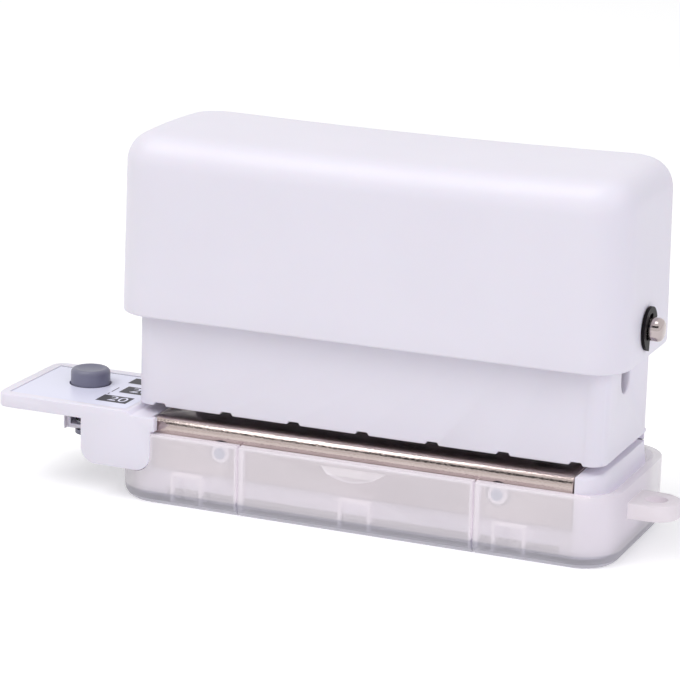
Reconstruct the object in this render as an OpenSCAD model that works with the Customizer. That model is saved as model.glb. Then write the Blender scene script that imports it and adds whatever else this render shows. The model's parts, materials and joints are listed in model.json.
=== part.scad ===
// Six-hole loose-leaf punch: pressed cap, six punches on a cross shaft, die plate, chip tray, paper gauge.
// Millimetres. X runs along the hole row, Y runs back from it, Z is up from the surface it stands on.

/* [Holes] */
// Distance from hole to hole
hole_pitch = 9.5; // [9:0.1:11]
// Diameter of a punched hole
hole_d = 5.5; // [4.5:0.1:5.8]
// Distance from the hole row back to the paper's stop
throat = 6.3; // [5.5:0.1:7]
// Height of the paper slot
slot_h = 1.1; // [0.8:0.1:1.5]

/* [Press] */
// How far the cap is pressed
travel = 6.5; // [5.5:0.1:7]
// Shaft diameter
shaft_d = 3; // [2.5:0.1:3.4]
// Length of shaft past the cap's wall
shaft_end = 2.2; // [1.6:0.1:3]
// Length of a return spring at rest
spring_len = 9.8; // [9:0.1:11]
// Wire diameter of a return spring
spring_wire = 0.4; // [0.3:0.05:0.45]
// Turns of a return spring
spring_turns = 5; // [4:0.5:6]
// Step between the tips of neighbouring punches
tip_step = 0.6; // [0.2:0.1:0.8]

/* [Cap] */
// Height of the cap, lower edge to top
cap_h = 23.4; // [21:0.1:26]
// Wall of the cap
cap_wall = 1.5; // [1.2:0.1:1.6]
// Radius of the cap's front corners
cap_corner = 5; // [4:0.5:6]
// Radius of the cap's rear corners
cap_rear_corner = 7; // [5:0.5:7]
// Radius of the cap's top edge
cap_edge = 3.8; // [3:0.1:5]
// How far the cap's front stands out from the housing
cap_over = 2.7; // [2.4:0.1:3]
// How far the cap's ends stand out from the housing
cap_over_end = 2.4; // [2.1:0.1:3]
// How much each side leans in from lower edge to top
cap_lean = 0.25; // [0:0.05:0.3]
// Distance from the shaft down to the cap's lower edge
cap_drop = 4; // [3.4:0.1:5]
// Sag of the cap's top in the middle
cap_dish = 0.5; // [0.2:0.1:0.8]

/* [Housing] */
// Distance from the last hole to the housing's end face
housing_end = 8.25; // [8:0.05:9]
// Distance from the hole row to the housing's front face
housing_front = 8.2; // [8:0.1:9]
// Distance from the hole row to the housing's rear face
housing_rear = 12.6; // [12:0.1:13.5]
// Wall of the housing
housing_wall = 1.6; // [1.4:0.1:1.8]
// Radius of the housing's front corners
housing_corner = 2.2; // [1.8:0.1:3]
// Radius of the housing's rear corners
housing_rear_corner = 3.4; // [2.8:0.1:3.6]
// Height of the lip along the lower front edge, and so of its notches
lip_h = 0.4; // [0.2:0.05:0.6]
// Width of a notch in that lip
notch_w = 2.2; // [1.5:0.1:3]

/* [Plates] */
// Height of the die plate's top above the table
die_top = 11.8; // [11:0.1:13]
// Thickness of the die plate
die_t = 1.5; // [1:0.1:1.8]
// Distance from the last hole to the die plate's end
die_end = 4.95; // [4.6:0.05:5.4]
// Height of the die plate's front flange
flange_h = 6.8; // [6:0.1:7.2]
// Thickness of the punch guide plate
guide_t = 1.5; // [1:0.1:2]

/* [Base and tray] */
// Distance from the hole row to the tray's front face
tray_front = 10.8; // [10.6:0.1:12]
// Distance from the hole row to the tray's rear face
tray_rear = 15.4; // [15.3:0.1:17]
// Width of the base's block past each end of the die plate
block_w = 4; // [3.8:0.1:5]
// Distance from the die plate's top down to the tray's rim
tray_drop = 2.1; // [1.8:0.1:2.4]
// Wall of the tray
tray_wall = 1.2; // [0.9:0.1:1.3]
// Radius of the tray's upright corners
tray_corner = 5.4; // [4:0.1:6]
// Radius of the tray's bottom edge
tray_edge = 1.9; // [1.5:0.1:2.2]
// Distance from the middle to each slit in the tray's front
slit_x = 16; // [14:0.1:17]
// Distance from the middle to each snap bump
bump_x = 19; // [18.5:0.1:21]
// Diameter of the lanyard eye's hole
eye_d = 2.8; // [2:0.1:3.4]
// Outside radius of the lanyard eye
eye_r = 3.1; // [2.8:0.1:4]

/* [Gauge] */
// Distance the gauge reaches past the locating pin
gauge_end = 8.7; // [6:0.1:12]
// Thickness of the gauge plate
gauge_t = 1.8; // [1.6:0.1:2.2]
// Height of the gauge's top above the die plate
gauge_rise = 0.5; // [0.3:0.05:0.7]
// Distance from the hole row to the gauge's rear edge
gauge_rear = 7.1; // [6.5:0.1:8]
// Width of the skirt under the gauge, outside the tray's front corner
skirt_w = 10.1; // [8:0.1:11]
// Height of the skirt below the gauge's top
skirt_h = 7.8; // [6:0.1:8]
// Diameter of the locating pin
pin_d = 5.3; // [4.4:0.1:5.4]
// Height of the locating pin above the label
pin_h = 2.1; // [1.5:0.1:2.4]

/* [Hidden] */
// Colours
WHITE = [0.9, 0.89, 0.92];
FROST = [0.85, 0.86, 0.9, 0.6];
NICKEL = [0.75, 0.72, 0.69];
STEEL = [0.55, 0.56, 0.58];
BLACK = [0.08, 0.08, 0.09];
GREY = [0.38, 0.38, 0.43];
LABEL = [0.86, 0.86, 0.95];

// Fits: a running fit, a gap between pieces that are fastened together, and a clear gap
run = 0.05;
seat = 0.05;
clear = 0.3;
over = 1;
$fn = 48;

// Hole row
hole_count = 6;
rib_count = hole_count + 1;
row_half = (hole_count - 1) * hole_pitch / 2;
function hole_x(i) = i * hole_pitch - row_half;
function rib_x(i) = hole_x(i) - hole_pitch / 2;

// Heights
lip_z = die_top + slot_h;
under_z = lip_z + lip_h;
floor_t = 1.2;
guide_z = under_z + floor_t;
spring_z = guide_z + guide_t;
ring_z = spring_z + spring_len;
ring_t = 0.6;
ring_lift = 1.4;
shaft_z = ring_z + ring_t + ring_lift + shaft_d / 2;
punch_over = 3.5;
punch_top = shaft_z + punch_over;
tip_lift = 0.3;
cap_z = shaft_z - cap_drop;
cap_top = cap_z + cap_h;
cap_roof = 2.2;
edge_r = min(cap_edge, cap_corner);
slot_w = shaft_d + 2 * clear;
housing_top = cap_top - cap_roof - (edge_r - cap_wall) - travel - clear;
tray_h = die_top - tray_drop;

// Plan sizes
housing_half = row_half + housing_end;
die_half = row_half + die_end;
block_gap = 0.2;
tray_gap = 0.1;
base_half = die_half + block_gap + block_w;
tray_half = base_half + tray_gap + tray_wall;
base_front = tray_front - tray_wall - tray_gap;
base_rear = tray_rear - tray_wall - tray_gap;
base_corner = tray_corner - tray_wall - tray_gap;
cap_half = housing_half + cap_over_end;
cap_front = housing_front + cap_over;
cap_rear = housing_rear + cap_over;

// Rectangle with round corners, from its limits and the radii of its front and rear corners
module round_plan(x0, x1, y0, y1, front_r, rear_r) {
    translate([x0, y0 + front_r])
        square([x1 - x0, y1 - y0 - front_r - rear_r]);
    for (end = [[y0, y0 + front_r, front_r], [y1 - rear_r, y1 - rear_r, rear_r]]) {
        translate([x0 + end[2], end[0]])
            square([x1 - x0 - 2 * end[2], end[2]]);
        for (x = [x0 + end[2], x1 - end[2]])
            translate([x, end[1]])
                circle(end[2]);
    }
}

// Box from its low and high corners
module span(low, high) {
    translate(low)
        cube(high - low);
}

// Cylinder along X from x0 to x1
module rod_x(x0, x1, y, z, d) {
    translate([x0, y, z])
        rotate([0, 90, 0])
            cylinder(d = d, h = x1 - x0);
}

// Slot through the wall along X, with round ends at z0 and z1
module slot_x(x0, x1, z0, z1, w) {
    rod_x(x0, x1, 0, z0, w);
    rod_x(x0, x1, 0, z1, w);
    span([x0, -w / 2, z0], [x1, w / 2, z1]);
}

// Open ring that snaps into a groove, in the XY plane
module snap_ring(outer_d, inner_d, t, mouth) {
    difference() {
        cylinder(d = outer_d, h = t);
        translate([0, 0, -over])
            cylinder(d = inner_d, h = t + 2 * over);
        span([0, -mouth / 2, -over], [outer_d, mouth / 2, t + over]);
    }
}

// Coil of round wire about Z: its middle line, and the points round the wire at one place on it
coil_steps = 8;
coil_sides = 6;
function coil_mid(i, r, turns, z0, z1) =
    let (a = 360 * i / coil_steps)
    [r * cos(a), r * sin(a), z0 + (z1 - z0) * i / (turns * coil_steps)];
function coil_ring(i, r, wire, turns, z0, z1) = [
    for (s = [0 : coil_sides - 1])
        let (a = 360 * s / coil_sides, b = 360 * i / coil_steps)
        coil_mid(i, r, turns, z0, z1) + wire / 2 * [cos(a) * cos(b), cos(a) * sin(b), sin(a)]
];

// One unbroken wire wound as a compression spring between the heights z0 and z1
module coil(r, wire, turns, z0, z1) {
    rings = turns * coil_steps;
    low = z0 + wire / 2;
    high = z1 - wire / 2;
    points = [
        for (i = [0 : rings])
            each coil_ring(i, r, wire, turns, low, high)
    ];
    sides = [
        for (i = [0 : rings - 1], s = [0 : coil_sides - 1])
            let (a = i * coil_sides + s, b = i * coil_sides + (s + 1) % coil_sides)
            each [[a, b, a + coil_sides], [b, b + coil_sides, a + coil_sides]]
    ];
    first = [for (s = [0 : coil_sides - 1]) s];
    last = [for (s = [coil_sides - 1 : -1 : 0]) rings * coil_sides + s];
    polyhedron(points, concat(sides, [first], [last]));
    gaps = [
        for (i = [0 : rings - coil_steps], j = [i + coil_steps / 2 : rings])
            norm(coil_mid(j, r, turns, low, high) - coil_mid(i, r, turns, low, high)) - wire
    ];
    echo(coil_gap = min(gaps));
}

// Press cap: hand-pressed shell with ribs that sit on the shaft between the punches
rib_t = 1.5;
rib_half = 5.4;
rib_under = 2.2;
cap_fn = 40;
module cap_form(inset, roof) {
    e = edge_r - inset;
    hull() {
        for (x = [-1, 1], side = [-1, 1]) {
            corner = side < 0 ? cap_corner : cap_rear_corner;
            r = corner - inset;
            y = side < 0 ? -cap_front + corner : cap_rear - corner;
            translate([x * (cap_half - corner), y, cap_z])
                cylinder(r = r, h = over, $fn = cap_fn);
            translate([x * (cap_half - corner - cap_lean), y - side * cap_lean, cap_top - roof - e])
                rotate_extrude($fn = cap_fn)
                    intersection() {
                        translate([r - e, 0])
                            circle(e, $fn = cap_fn);
                        square([2 * r, 2 * r]);
                    }
        }
    }
}
dish_fn = 720;
dish_r = (cap_half * cap_half + cap_dish * cap_dish) / (2 * cap_dish);
module press_cap() color(WHITE) difference() {
    union() {
        difference() {
            cap_form(0, 0);
            translate([0, 0, -seat])
                cap_form(cap_wall, cap_roof);
            translate([0, cap_rear + over, cap_top - cap_dish + dish_r])
                rotate([90, 0, 0])
                    cylinder(r = dish_r, h = cap_front + cap_rear + 2 * over, $fn = dish_fn);
        }
        for (i = [0 : rib_count - 1])
            span([rib_x(i) - rib_t / 2, -rib_half, shaft_z - shaft_d / 2 - rib_under],
                [rib_x(i) + rib_t / 2, rib_half, cap_top - cap_roof + clear]);
    }
    rod_x(-cap_half - over, cap_half + over, 0, shaft_z, shaft_d + 2 * run);
}

// Press shaft: plain rod with a groove for a clip and a rounded nose at each end
clip_t = 0.4;
clip_groove = 0.6;
clip_d = 5.6;
clip_mouth = shaft_d - 2 * clip_groove;
clip_turn = 35;
nose = 0.7;
shaft_half = cap_half + shaft_end;
clip_x = cap_half + seat;
module press_shaft() color(NICKEL) difference() {
    union() {
        rod_x(-shaft_half + nose, shaft_half - nose, 0, shaft_z, shaft_d);
        for (s = [-1, 1])
            translate([s * (shaft_half - nose), 0, shaft_z])
                rotate([0, s * 90, 0])
                    cylinder(d1 = shaft_d, d2 = shaft_d - 2 * nose, h = nose);
    }
    for (s = [-1, 1])
        translate([s * (clip_x + clip_t / 2), 0, shaft_z])
            rotate([0, 90, 0])
                difference() {
                    cylinder(d = shaft_d + over, h = clip_t + 2 * seat, center = true);
                    cylinder(d = shaft_d - clip_groove, h = 2 * clip_t, center = true);
                }
}

// Shaft clips: one E-clip outside each end wall of the cap
module shaft_clips() color(BLACK) {
    for (s = [-1, 1])
        translate([s * (clip_x + clip_t / 2), 0, shaft_z])
            rotate([0, 90, 0])
                translate([0, 0, -clip_t / 2])
                    rotate([0, 0, clip_turn])
                        snap_ring(clip_d, shaft_d - clip_groove + 2 * run, clip_t, clip_mouth);
}

// Punch: round bar with a hole for the shaft, a groove for its ring and a hollow-ground tip
ring_groove = 0.8;
tip_hollow = 0.5;
tip_grind = (hole_d * hole_d / 4 + tip_hollow * tip_hollow) / (2 * tip_hollow);
function tip_z(i) = under_z + tip_lift + tip_step * min(i, hole_count - 1 - i);
module punch(i) color(STEEL) translate([hole_x(i), 0, 0]) difference() {
    translate([0, 0, tip_z(i)])
        cylinder(d = hole_d, h = punch_top - tip_z(i));
    rod_x(-hole_d, hole_d, 0, shaft_z, shaft_d + 2 * run);
    translate([0, hole_d, tip_z(i) - tip_grind + tip_hollow])
        rotate([90, 0, 0])
            cylinder(r = tip_grind, h = 2 * hole_d, $fn = 96);
    translate([0, 0, ring_z - seat])
        difference() {
            cylinder(d = hole_d + over, h = ring_t + 2 * seat);
            cylinder(d = hole_d - ring_groove, h = ring_t + over);
        }
}
module punch_1() punch(0);
module punch_2() punch(1);
module punch_3() punch(2);
module punch_4() punch(3);
module punch_5() punch(4);
module punch_6() punch(5);

// Punch rings: a snap ring on each punch, pushed up by its spring
ring_over = 0.95;
ring_d = hole_d + 2 * ring_over;
module punch_rings() color(BLACK) {
    for (i = [0 : hole_count - 1])
        translate([hole_x(i), 0, ring_z])
            rotate([0, 0, 90])
                snap_ring(ring_d, hole_d - ring_groove + 2 * run, ring_t, hole_d - 2 * ring_groove);
}

// Return springs: one round each punch, from the guide plate up to the ring
coil_r = hole_d / 2 + clear + spring_wire / 2;
module return_spring(i) color(STEEL) translate([hole_x(i), 0, 0])
    coil(coil_r, spring_wire, spring_turns, spring_z + seat, ring_z - seat);
module spring_1() return_spring(0);
module spring_2() return_spring(1);
module spring_3() return_spring(2);
module spring_4() return_spring(3);
module spring_5() return_spring(4);
module spring_6() return_spring(5);

// Housing: box open at the top, with the paper slot under it and a foot behind the slot
screw_x = row_half - hole_pitch / 4;
screw_y = (throat + housing_rear) / 2;
screw_d = 2.4;
screw_in = 7;
boss_wall = 1.3;
lip_t = 1;
foot_in = 1.8;
foot_step = 3.9;
module housing() color(WHITE) difference() {
    union() {
        difference() {
            translate([0, 0, lip_z])
                linear_extrude(housing_top - lip_z)
                    round_plan(-housing_half, housing_half, -housing_front, housing_rear, housing_corner,
                        housing_rear_corner);
            span([-housing_half + housing_wall, -housing_front + housing_wall, guide_z],
                [housing_half - housing_wall, housing_rear - housing_wall, housing_top + over]);
            span([-housing_half - over, -housing_front + lip_t, lip_z - over],
                [housing_half + over, housing_rear + over, under_z]);
        }
        intersection() {
            translate([0, 0, die_top + seat])
                linear_extrude(under_z - die_top)
                    round_plan(-housing_half, housing_half, -housing_front, housing_rear, housing_corner,
                        housing_rear_corner);
            union() {
                span([-housing_half + foot_in, throat, die_top],
                    [housing_half - foot_in, housing_rear, guide_z]);
                span([-housing_half, throat + foot_step, die_top], [housing_half, housing_rear, guide_z]);
            }
        }
        for (s = [-1, 1])
            translate([s * screw_x, screw_y, die_top + seat])
                cylinder(d = screw_d + 2 * boss_wall, h = screw_in + over);
    }
    for (i = [0 : hole_count - 1])
        translate([hole_x(i), 0, under_z - over])
            cylinder(d = hole_d + 2 * clear, h = floor_t + 2 * over);
    for (i = [0 : rib_count - 1])
        translate([rib_x(i), -housing_front + lip_t + over, lip_z])
            rotate([90, 0, 0])
                linear_extrude(lip_t + 2 * over)
                    polygon([[-notch_w / 2, -lip_h], [notch_w / 2, -lip_h],
                        [notch_w / 2 - lip_h, lip_h], [-notch_w / 2 + lip_h, lip_h]]);
    for (s = [-1, 1]) {
        slot_x(s * housing_half - housing_wall - over, s * housing_half + housing_wall + over,
            shaft_z - travel - clear, shaft_z, slot_w);
        translate([s * screw_x, screw_y, die_top - over])
            cylinder(d = screw_d + 2 * run, h = screw_in + over);
    }
}

// Guide plate: lies on the housing's floor and holds the punches upright
guide_half = housing_half - housing_wall - clear;
guide_y = housing_front - housing_wall - clear;
module guide_plate() color(STEEL) difference() {
    span([-guide_half, -guide_y, guide_z + seat], [guide_half, throat, spring_z]);
    for (i = [0 : hole_count - 1])
        translate([hole_x(i), 0, guide_z - over])
            cylinder(d = hole_d + 2 * run, h = guide_t + 2 * over);
}

// Die plate: folded sheet with six cutting holes, two screw holes and two holes for the tray's bumps
flange_y = base_front - seat;
die_margin = 1.2;
die_rear = screw_y + screw_d / 2 + die_margin;
bump_drop = 3.6;
bump_z = die_top - bump_drop;
bump_d = 2.6;
bump_hole_d = 3.3;
module die_plate() color(NICKEL) difference() {
    union() {
        span([-die_half, -flange_y + die_t, die_top - die_t], [die_half, die_rear, die_top]);
        rod_x(-die_half, die_half, -flange_y + die_t, die_top - die_t, 2 * die_t);
        span([-die_half, -flange_y, die_top - flange_h], [die_half, -flange_y + die_t, die_top - die_t]);
    }
    for (i = [0 : hole_count - 1])
        translate([hole_x(i), 0, die_top - die_t - over])
            cylinder(d = hole_d + 2 * run, h = die_t + 2 * over);
    for (s = [-1, 1]) {
        translate([s * screw_x, screw_y, die_top - die_t - over])
            cylinder(d = screw_d + 2 * clear, h = die_t + 2 * over);
        translate([s * bump_x, -flange_y - over, bump_z])
            rotate([-90, 0, 0])
                cylinder(d = bump_hole_d, h = die_t + 2 * over);
    }
    span([-die_half - over, -flange_y + die_t, die_top - 3 * die_t],
        [die_half + over, -flange_y + 3 * die_t, die_top - die_t]);
}

// Base frame: ring that carries the plate, closed in by the tray, with a ledge round the housing's rear
floor_top = tray_wall;
rail_z = 2.3;
rail_top = die_top - flange_h - clear;
rail_back = 0.7;
plate_half = die_half + block_gap;
well_half = row_half + hole_d / 2 + 2 * clear;
well_front = flange_y - die_t - clear;
well_rear = throat - clear;
head_d = 4.4;
head_t = 1.6;
head_seat = 1.7;
head_z = die_top - die_t - head_seat;
gauge_under = die_top + gauge_rise - gauge_t;
skirt_t = 1.1;
skirt_lap = 0.55;
skirt_right = -die_half;
skirt_lip = skirt_right + skirt_lap;
skirt_corner = 2.2;
skirt_gap = 0.1;
skirt_z = gauge_under + gauge_t - skirt_h;
tongue_right = -plate_half;
tongue_rear = throat - clear;
gauge_screw_d = 1.4;
gauge_boss_d = 2.8;
gauge_boss_h = 3;
gauge_head_z = 4.6;
gauge_head_t = 1;
gauge_head_d = gauge_boss_d - clear;
gauge_screw_h = gauge_under - gauge_head_z;
gauge_screw_in = 1.6;
gauge_screw_x = tongue_right - gauge_screw_in;
gauge_screw_y = [-4, 3.5];
module chip_well() {
    span([-well_half, -well_front, 0], [well_half, well_rear, die_top + over]);
}
module rail_gap() {
    span([-plate_half, -base_front - over, 0], [plate_half, -base_front + rail_back, die_top]);
    span([-well_half, -base_front - over, 0], [well_half, -well_front + seat, rail_z]);
    span([-plate_half, -base_front - over, rail_top], [plate_half, -well_front + seat, die_top + over]);
}
module plate_seat() {
    span([-plate_half, -base_front - over, die_top - die_t - seat],
        [plate_half, die_rear + clear, die_top + over]);
}
module gauge_seat() {
    span([-base_half - over, -base_front - over, gauge_under - seat],
        [tongue_right + seat, tongue_rear + seat, die_top + over]);
    span([-base_half - over, -base_front - over, skirt_z - clear],
        [tongue_right + seat, -tray_front + skirt_t + 2 * clear, die_top + over]);
}
module rear_ledge() {
    translate([0, 0, tray_h])
        linear_extrude(die_top)
            difference() {
                translate([-base_half - over, throat + foot_step])
                    square([2 * (base_half + over), base_rear]);
                round_plan(-housing_half, housing_half, -housing_front, housing_rear, housing_corner,
                    housing_rear_corner);
            }
}
module base_frame() color(WHITE) difference() {
    translate([0, 0, floor_top + seat])
        linear_extrude(die_top - floor_top - seat)
            round_plan(-base_half, base_half, -base_front, base_rear, base_corner, base_corner);
    rear_ledge();
    chip_well();
    rail_gap();
    plate_seat();
    gauge_seat();
    for (s = [-1, 1])
        translate([s * screw_x, screw_y, 0]) {
            cylinder(d = screw_d + 2 * clear, h = die_top);
            cylinder(d = head_d + 2 * clear, h = head_z);
        }
    for (y = gauge_screw_y)
        translate([gauge_screw_x, y, 0]) {
            cylinder(d = gauge_screw_d + 2 * clear, h = die_top);
            cylinder(d = gauge_boss_d, h = gauge_head_z);
            translate([0, 0, gauge_under - gauge_boss_h - seat])
                cylinder(d = gauge_boss_d + 2 * run, h = gauge_boss_h + over);
        }
}

// Pan head screw standing on its head at z
module screw(d, length, head_d, head_t, z) {
    translate([0, 0, z])
        cylinder(d = d, h = length);
    translate([0, 0, z - head_t])
        cylinder(d = head_d, h = head_t);
}

// Housing screws: up through base and die plate into the housing
module housing_screws() color(STEEL) {
    for (s = [-1, 1])
        translate([s * screw_x, screw_y, 0])
            screw(screw_d, die_top - head_z + screw_in - over, head_d, head_t, head_z - seat);
}

// Gauge screws: up through the base's left block into the gauge
module gauge_screws() color(STEEL) {
    for (y = gauge_screw_y)
        translate([gauge_screw_x, y, 0])
            screw(gauge_screw_d, gauge_screw_h, gauge_head_d, gauge_head_t, gauge_head_z - seat);
}

// Outer form of the tray, with round corners and a round bottom edge
form_fn = 32;
module tray_form() {
    e = min(tray_edge, tray_corner);
    hull() {
        for (x = [-tray_half + tray_corner, tray_half - tray_corner],
            y = [-tray_front + tray_corner, tray_rear - tray_corner])
            translate([x, y, 0]) {
                translate([0, 0, e])
                    cylinder(r = tray_corner, h = tray_h - e, $fn = form_fn);
                translate([0, 0, e])
                    rotate_extrude($fn = form_fn)
                        intersection() {
                            translate([tray_corner - e, 0])
                                circle(e, $fn = form_fn);
                            translate([0, -e])
                                square([tray_corner, e]);
                        }
            }
    }
}

// Space that the door fills in the tray, wider by the gap given
hinge_y = -2.4;
hinge_z = 1.4;
barrel_d = 2;
hinge_pin_d = 1.2;
slit = 0.3;
module door_space(gap) {
    span([-slit_x - gap, -tray_front - over, -over], [slit_x + gap, hinge_y, tray_h + over]);
    span([-slit_x - gap, hinge_y - over, -over],
        [slit_x + gap, hinge_y + hinge_z + clear, barrel_d + hinge_z]);
}

// Inside of the tray
module tray_hollow() {
    translate([0, 0, floor_top])
        linear_extrude(tray_h)
            round_plan(-tray_half + tray_wall, tray_half - tray_wall, -tray_front + tray_wall,
                tray_rear - tray_wall, tray_corner - tray_wall, tray_corner - tray_wall);
}

// Low U-shaped rib on the inside of the front wall
hook_w = 4.4;
hook_rib = 0.5;
hook_t = 0.6;
hook_top = rail_top;
module hook(x) {
    y0 = -tray_front + tray_wall - seat;
    y1 = -tray_front + tray_wall + hook_rib;
    for (s = [-1, 1])
        span([x + s * (hook_w - hook_t) / 2 - hook_t / 2, y0, floor_top - seat],
            [x + s * (hook_w - hook_t) / 2 + hook_t / 2, y1, hook_top]);
    span([x - hook_w / 2, y0, hook_top - hook_t], [x + hook_w / 2, y1, hook_top]);
}

// Chip tray: frosted shell with snap bumps, hinge bosses and a lanyard eye
hook_x = 22.5;
eye_t = 2.1;
eye_drop = 4.1;
eye_z = tray_h - eye_drop;
eye_reach = 2.8;
eye_x = tray_half + eye_reach;
eye_y = -0.8;
pin_boss = 2.8;
boss_end = 0.6;
hinge_half = slit_x + slit + pin_boss - boss_end;
module chip_tray() color(FROST) difference() {
    union() {
        difference() {
            tray_form();
            tray_hollow();
            door_space(slit);
        }
        for (s = [-1, 1]) {
            translate([s * bump_x, -tray_front + tray_wall - seat, bump_z])
                rotate([-90, 0, 0])
                    cylinder(d = bump_d, h = die_t);
            translate([s * (slit_x + slit + pin_boss / 2), hinge_y, hinge_z])
                cube([pin_boss, barrel_d, barrel_d], center = true);
            hook(s * hook_x);
        }
        translate([eye_x, eye_y, eye_z])
            cylinder(r = eye_r, h = eye_t);
        span([tray_half - tray_wall / 2, eye_y - eye_r, eye_z], [eye_x, eye_y + eye_r, eye_z + eye_t]);
    }
    translate([eye_x, eye_y, eye_z - over])
        cylinder(d = eye_d, h = eye_t + 2 * over);
    rod_x(-hinge_half, hinge_half, hinge_y, hinge_z, hinge_pin_d + 2 * run);
    translate([0, -tray_front + skirt_t + clear, 0])
        rotate([90, 0, 0])
            linear_extrude(skirt_t + clear + over)
                round_plan(-tray_half - over, skirt_right + skirt_gap, skirt_z - skirt_gap, tray_h + over,
                    skirt_corner + skirt_gap, over / 2);
}

// Tray door: front panel and a strip of floor, hinged on two pins, with a finger lip and one rib
lip_half = 4.5;
lip_sag = 1.5;
lip_down = 0.7;
lip_out = 1;
lip_edge = 0.7;
lip_r = (lip_half * lip_half + lip_sag * lip_sag) / (2 * lip_sag);
module finger_lip() {
    lip_top = tray_h - lip_down;
    lip_low = lip_top - lip_sag;
    difference() {
        translate([0, -tray_front + seat, lip_low + lip_r])
            rotate([90, 0, 0])
                cylinder(r = lip_r, h = lip_out + seat, $fn = 64);
        span([-lip_r - over, -tray_front - 2 * lip_out, lip_top],
            [lip_r + over, -tray_front + over, tray_h + 2 * lip_r]);
        translate([0, -tray_front - lip_out, lip_low + lip_edge])
            rotate([atan2(lip_sag - lip_edge, lip_out), 0, 0])
                span([-lip_r - over, -lip_sag, 0], [lip_r + over, 2 * lip_sag, 2 * lip_r]);
    }
}
module tray_door() color(FROST) {
    intersection() {
        difference() {
            tray_form();
            tray_hollow();
        }
        span([-slit_x, -tray_front - over, -over], [slit_x, hinge_y, tray_h + over]);
    }
    rod_x(-slit_x, slit_x, hinge_y, hinge_z, barrel_d);
    rod_x(-hinge_half + clear, hinge_half - clear, hinge_y, hinge_z, hinge_pin_d);
    finger_lip();
    hook(0);
}

// Paper gauge: flat arm level with the die plate, with a label recess, a skirt and a socket for the pin
gauge_back = 0.2;
gauge_front = tray_front - gauge_back;
gauge_corner = 1.8;
arm_right = -base_half - seat;
ramp_in = 0.4;
ramp_x = -housing_half + ramp_in;
label_in = 1.3;
label_t = 0.3;
label_sunk = 0.1;
pin_x = hole_x(0) - 2 * hole_pitch;
gauge_reach = gauge_end - pin_x;
gauge_top = gauge_under + gauge_t;
label_end = ramp_x - gauge_rise - label_in / 2;
sink_gap = 0.2;
sink_d = pin_d + 2 * sink_gap;
sink_h = 0.9;
socket_wall = 0.9;
socket_web = 0.6;
socket_h = 4.5;
socket_slot = 5.3;
socket_lip = 0.4;
skirt_left = skirt_right - skirt_w;
module gauge_plan() {
    round_plan(-gauge_reach, arm_right, -gauge_front, gauge_rear, gauge_corner, gauge_corner);
    translate([arm_right - gauge_corner, -gauge_front])
        square([tongue_right - arm_right + gauge_corner, gauge_front + tongue_rear]);
}
module gauge_profile() {
    polygon([
        [-gauge_reach, gauge_under],
        [-gauge_reach, gauge_top],
        [ramp_x - gauge_rise, gauge_top],
        [ramp_x, die_top],
        [tongue_right, die_top],
        [tongue_right, gauge_under]
    ]);
}
module skirt_face() {
    round_plan(skirt_left, skirt_right, skirt_z, gauge_under + gauge_t / 2, skirt_corner, gauge_t / 4);
    translate([tongue_right - over, tray_h + clear])
        square([skirt_lip - tongue_right + over, die_top - tray_h - clear]);
}
module paper_gauge() color(WHITE) difference() {
    union() {
        intersection() {
            translate([0, gauge_rear + over, 0])
                rotate([90, 0, 0])
                    linear_extrude(gauge_front + gauge_rear + 2 * over)
                        gauge_profile();
            linear_extrude(die_top + gauge_t)
                gauge_plan();
        }
        translate([0, -gauge_front + skirt_t, 0])
            rotate([90, 0, 0])
                linear_extrude(skirt_t)
                    skirt_face();
        translate([pin_x, 0, gauge_under - socket_h])
            cylinder(d = pin_d + 2 * run + 2 * socket_wall, h = socket_h + seat);
        for (y = gauge_screw_y)
            translate([gauge_screw_x, y, gauge_under - gauge_boss_h])
                cylinder(d = gauge_boss_d, h = gauge_boss_h + seat);
    }
    span([-gauge_reach + label_in, -gauge_front + label_in, gauge_top - label_sunk - label_t - seat],
        [label_end, gauge_rear - label_in, gauge_top + over]);
    translate([pin_x, 0, gauge_under - socket_h + socket_web])
        cylinder(d = pin_d + 2 * run, h = socket_h + gauge_t);
    translate([pin_x, 0, gauge_top - sink_h])
        cylinder(d = sink_d, h = sink_h + over);
    translate([pin_x, 0, gauge_under - socket_h - over])
        cylinder(d = pin_stem_d + 2 * run, h = socket_web + 2 * over);
    span([pin_x - socket_slot / 2, -pin_d, gauge_under - socket_h - over],
        [pin_x + socket_slot / 2, -pin_stem_d / 2 - socket_lip, gauge_under - clear]);
    for (y = gauge_screw_y)
        translate([gauge_screw_x, y, gauge_under - gauge_boss_h - over])
            cylinder(d = gauge_screw_d + 2 * run, h = gauge_boss_h + over + seat);
}

// Gauge label: printed sheet in the recess, with a hole for the pin
module gauge_label() color(LABEL) difference() {
    span([-gauge_reach + label_in + seat, -gauge_front + label_in + seat, gauge_top - label_sunk - label_t],
        [label_end - seat, gauge_rear - label_in - seat, gauge_top - label_sunk]);
    translate([pin_x, 0, die_top - over])
        cylinder(d = sink_d, h = gauge_t + 2 * over);
}

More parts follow.
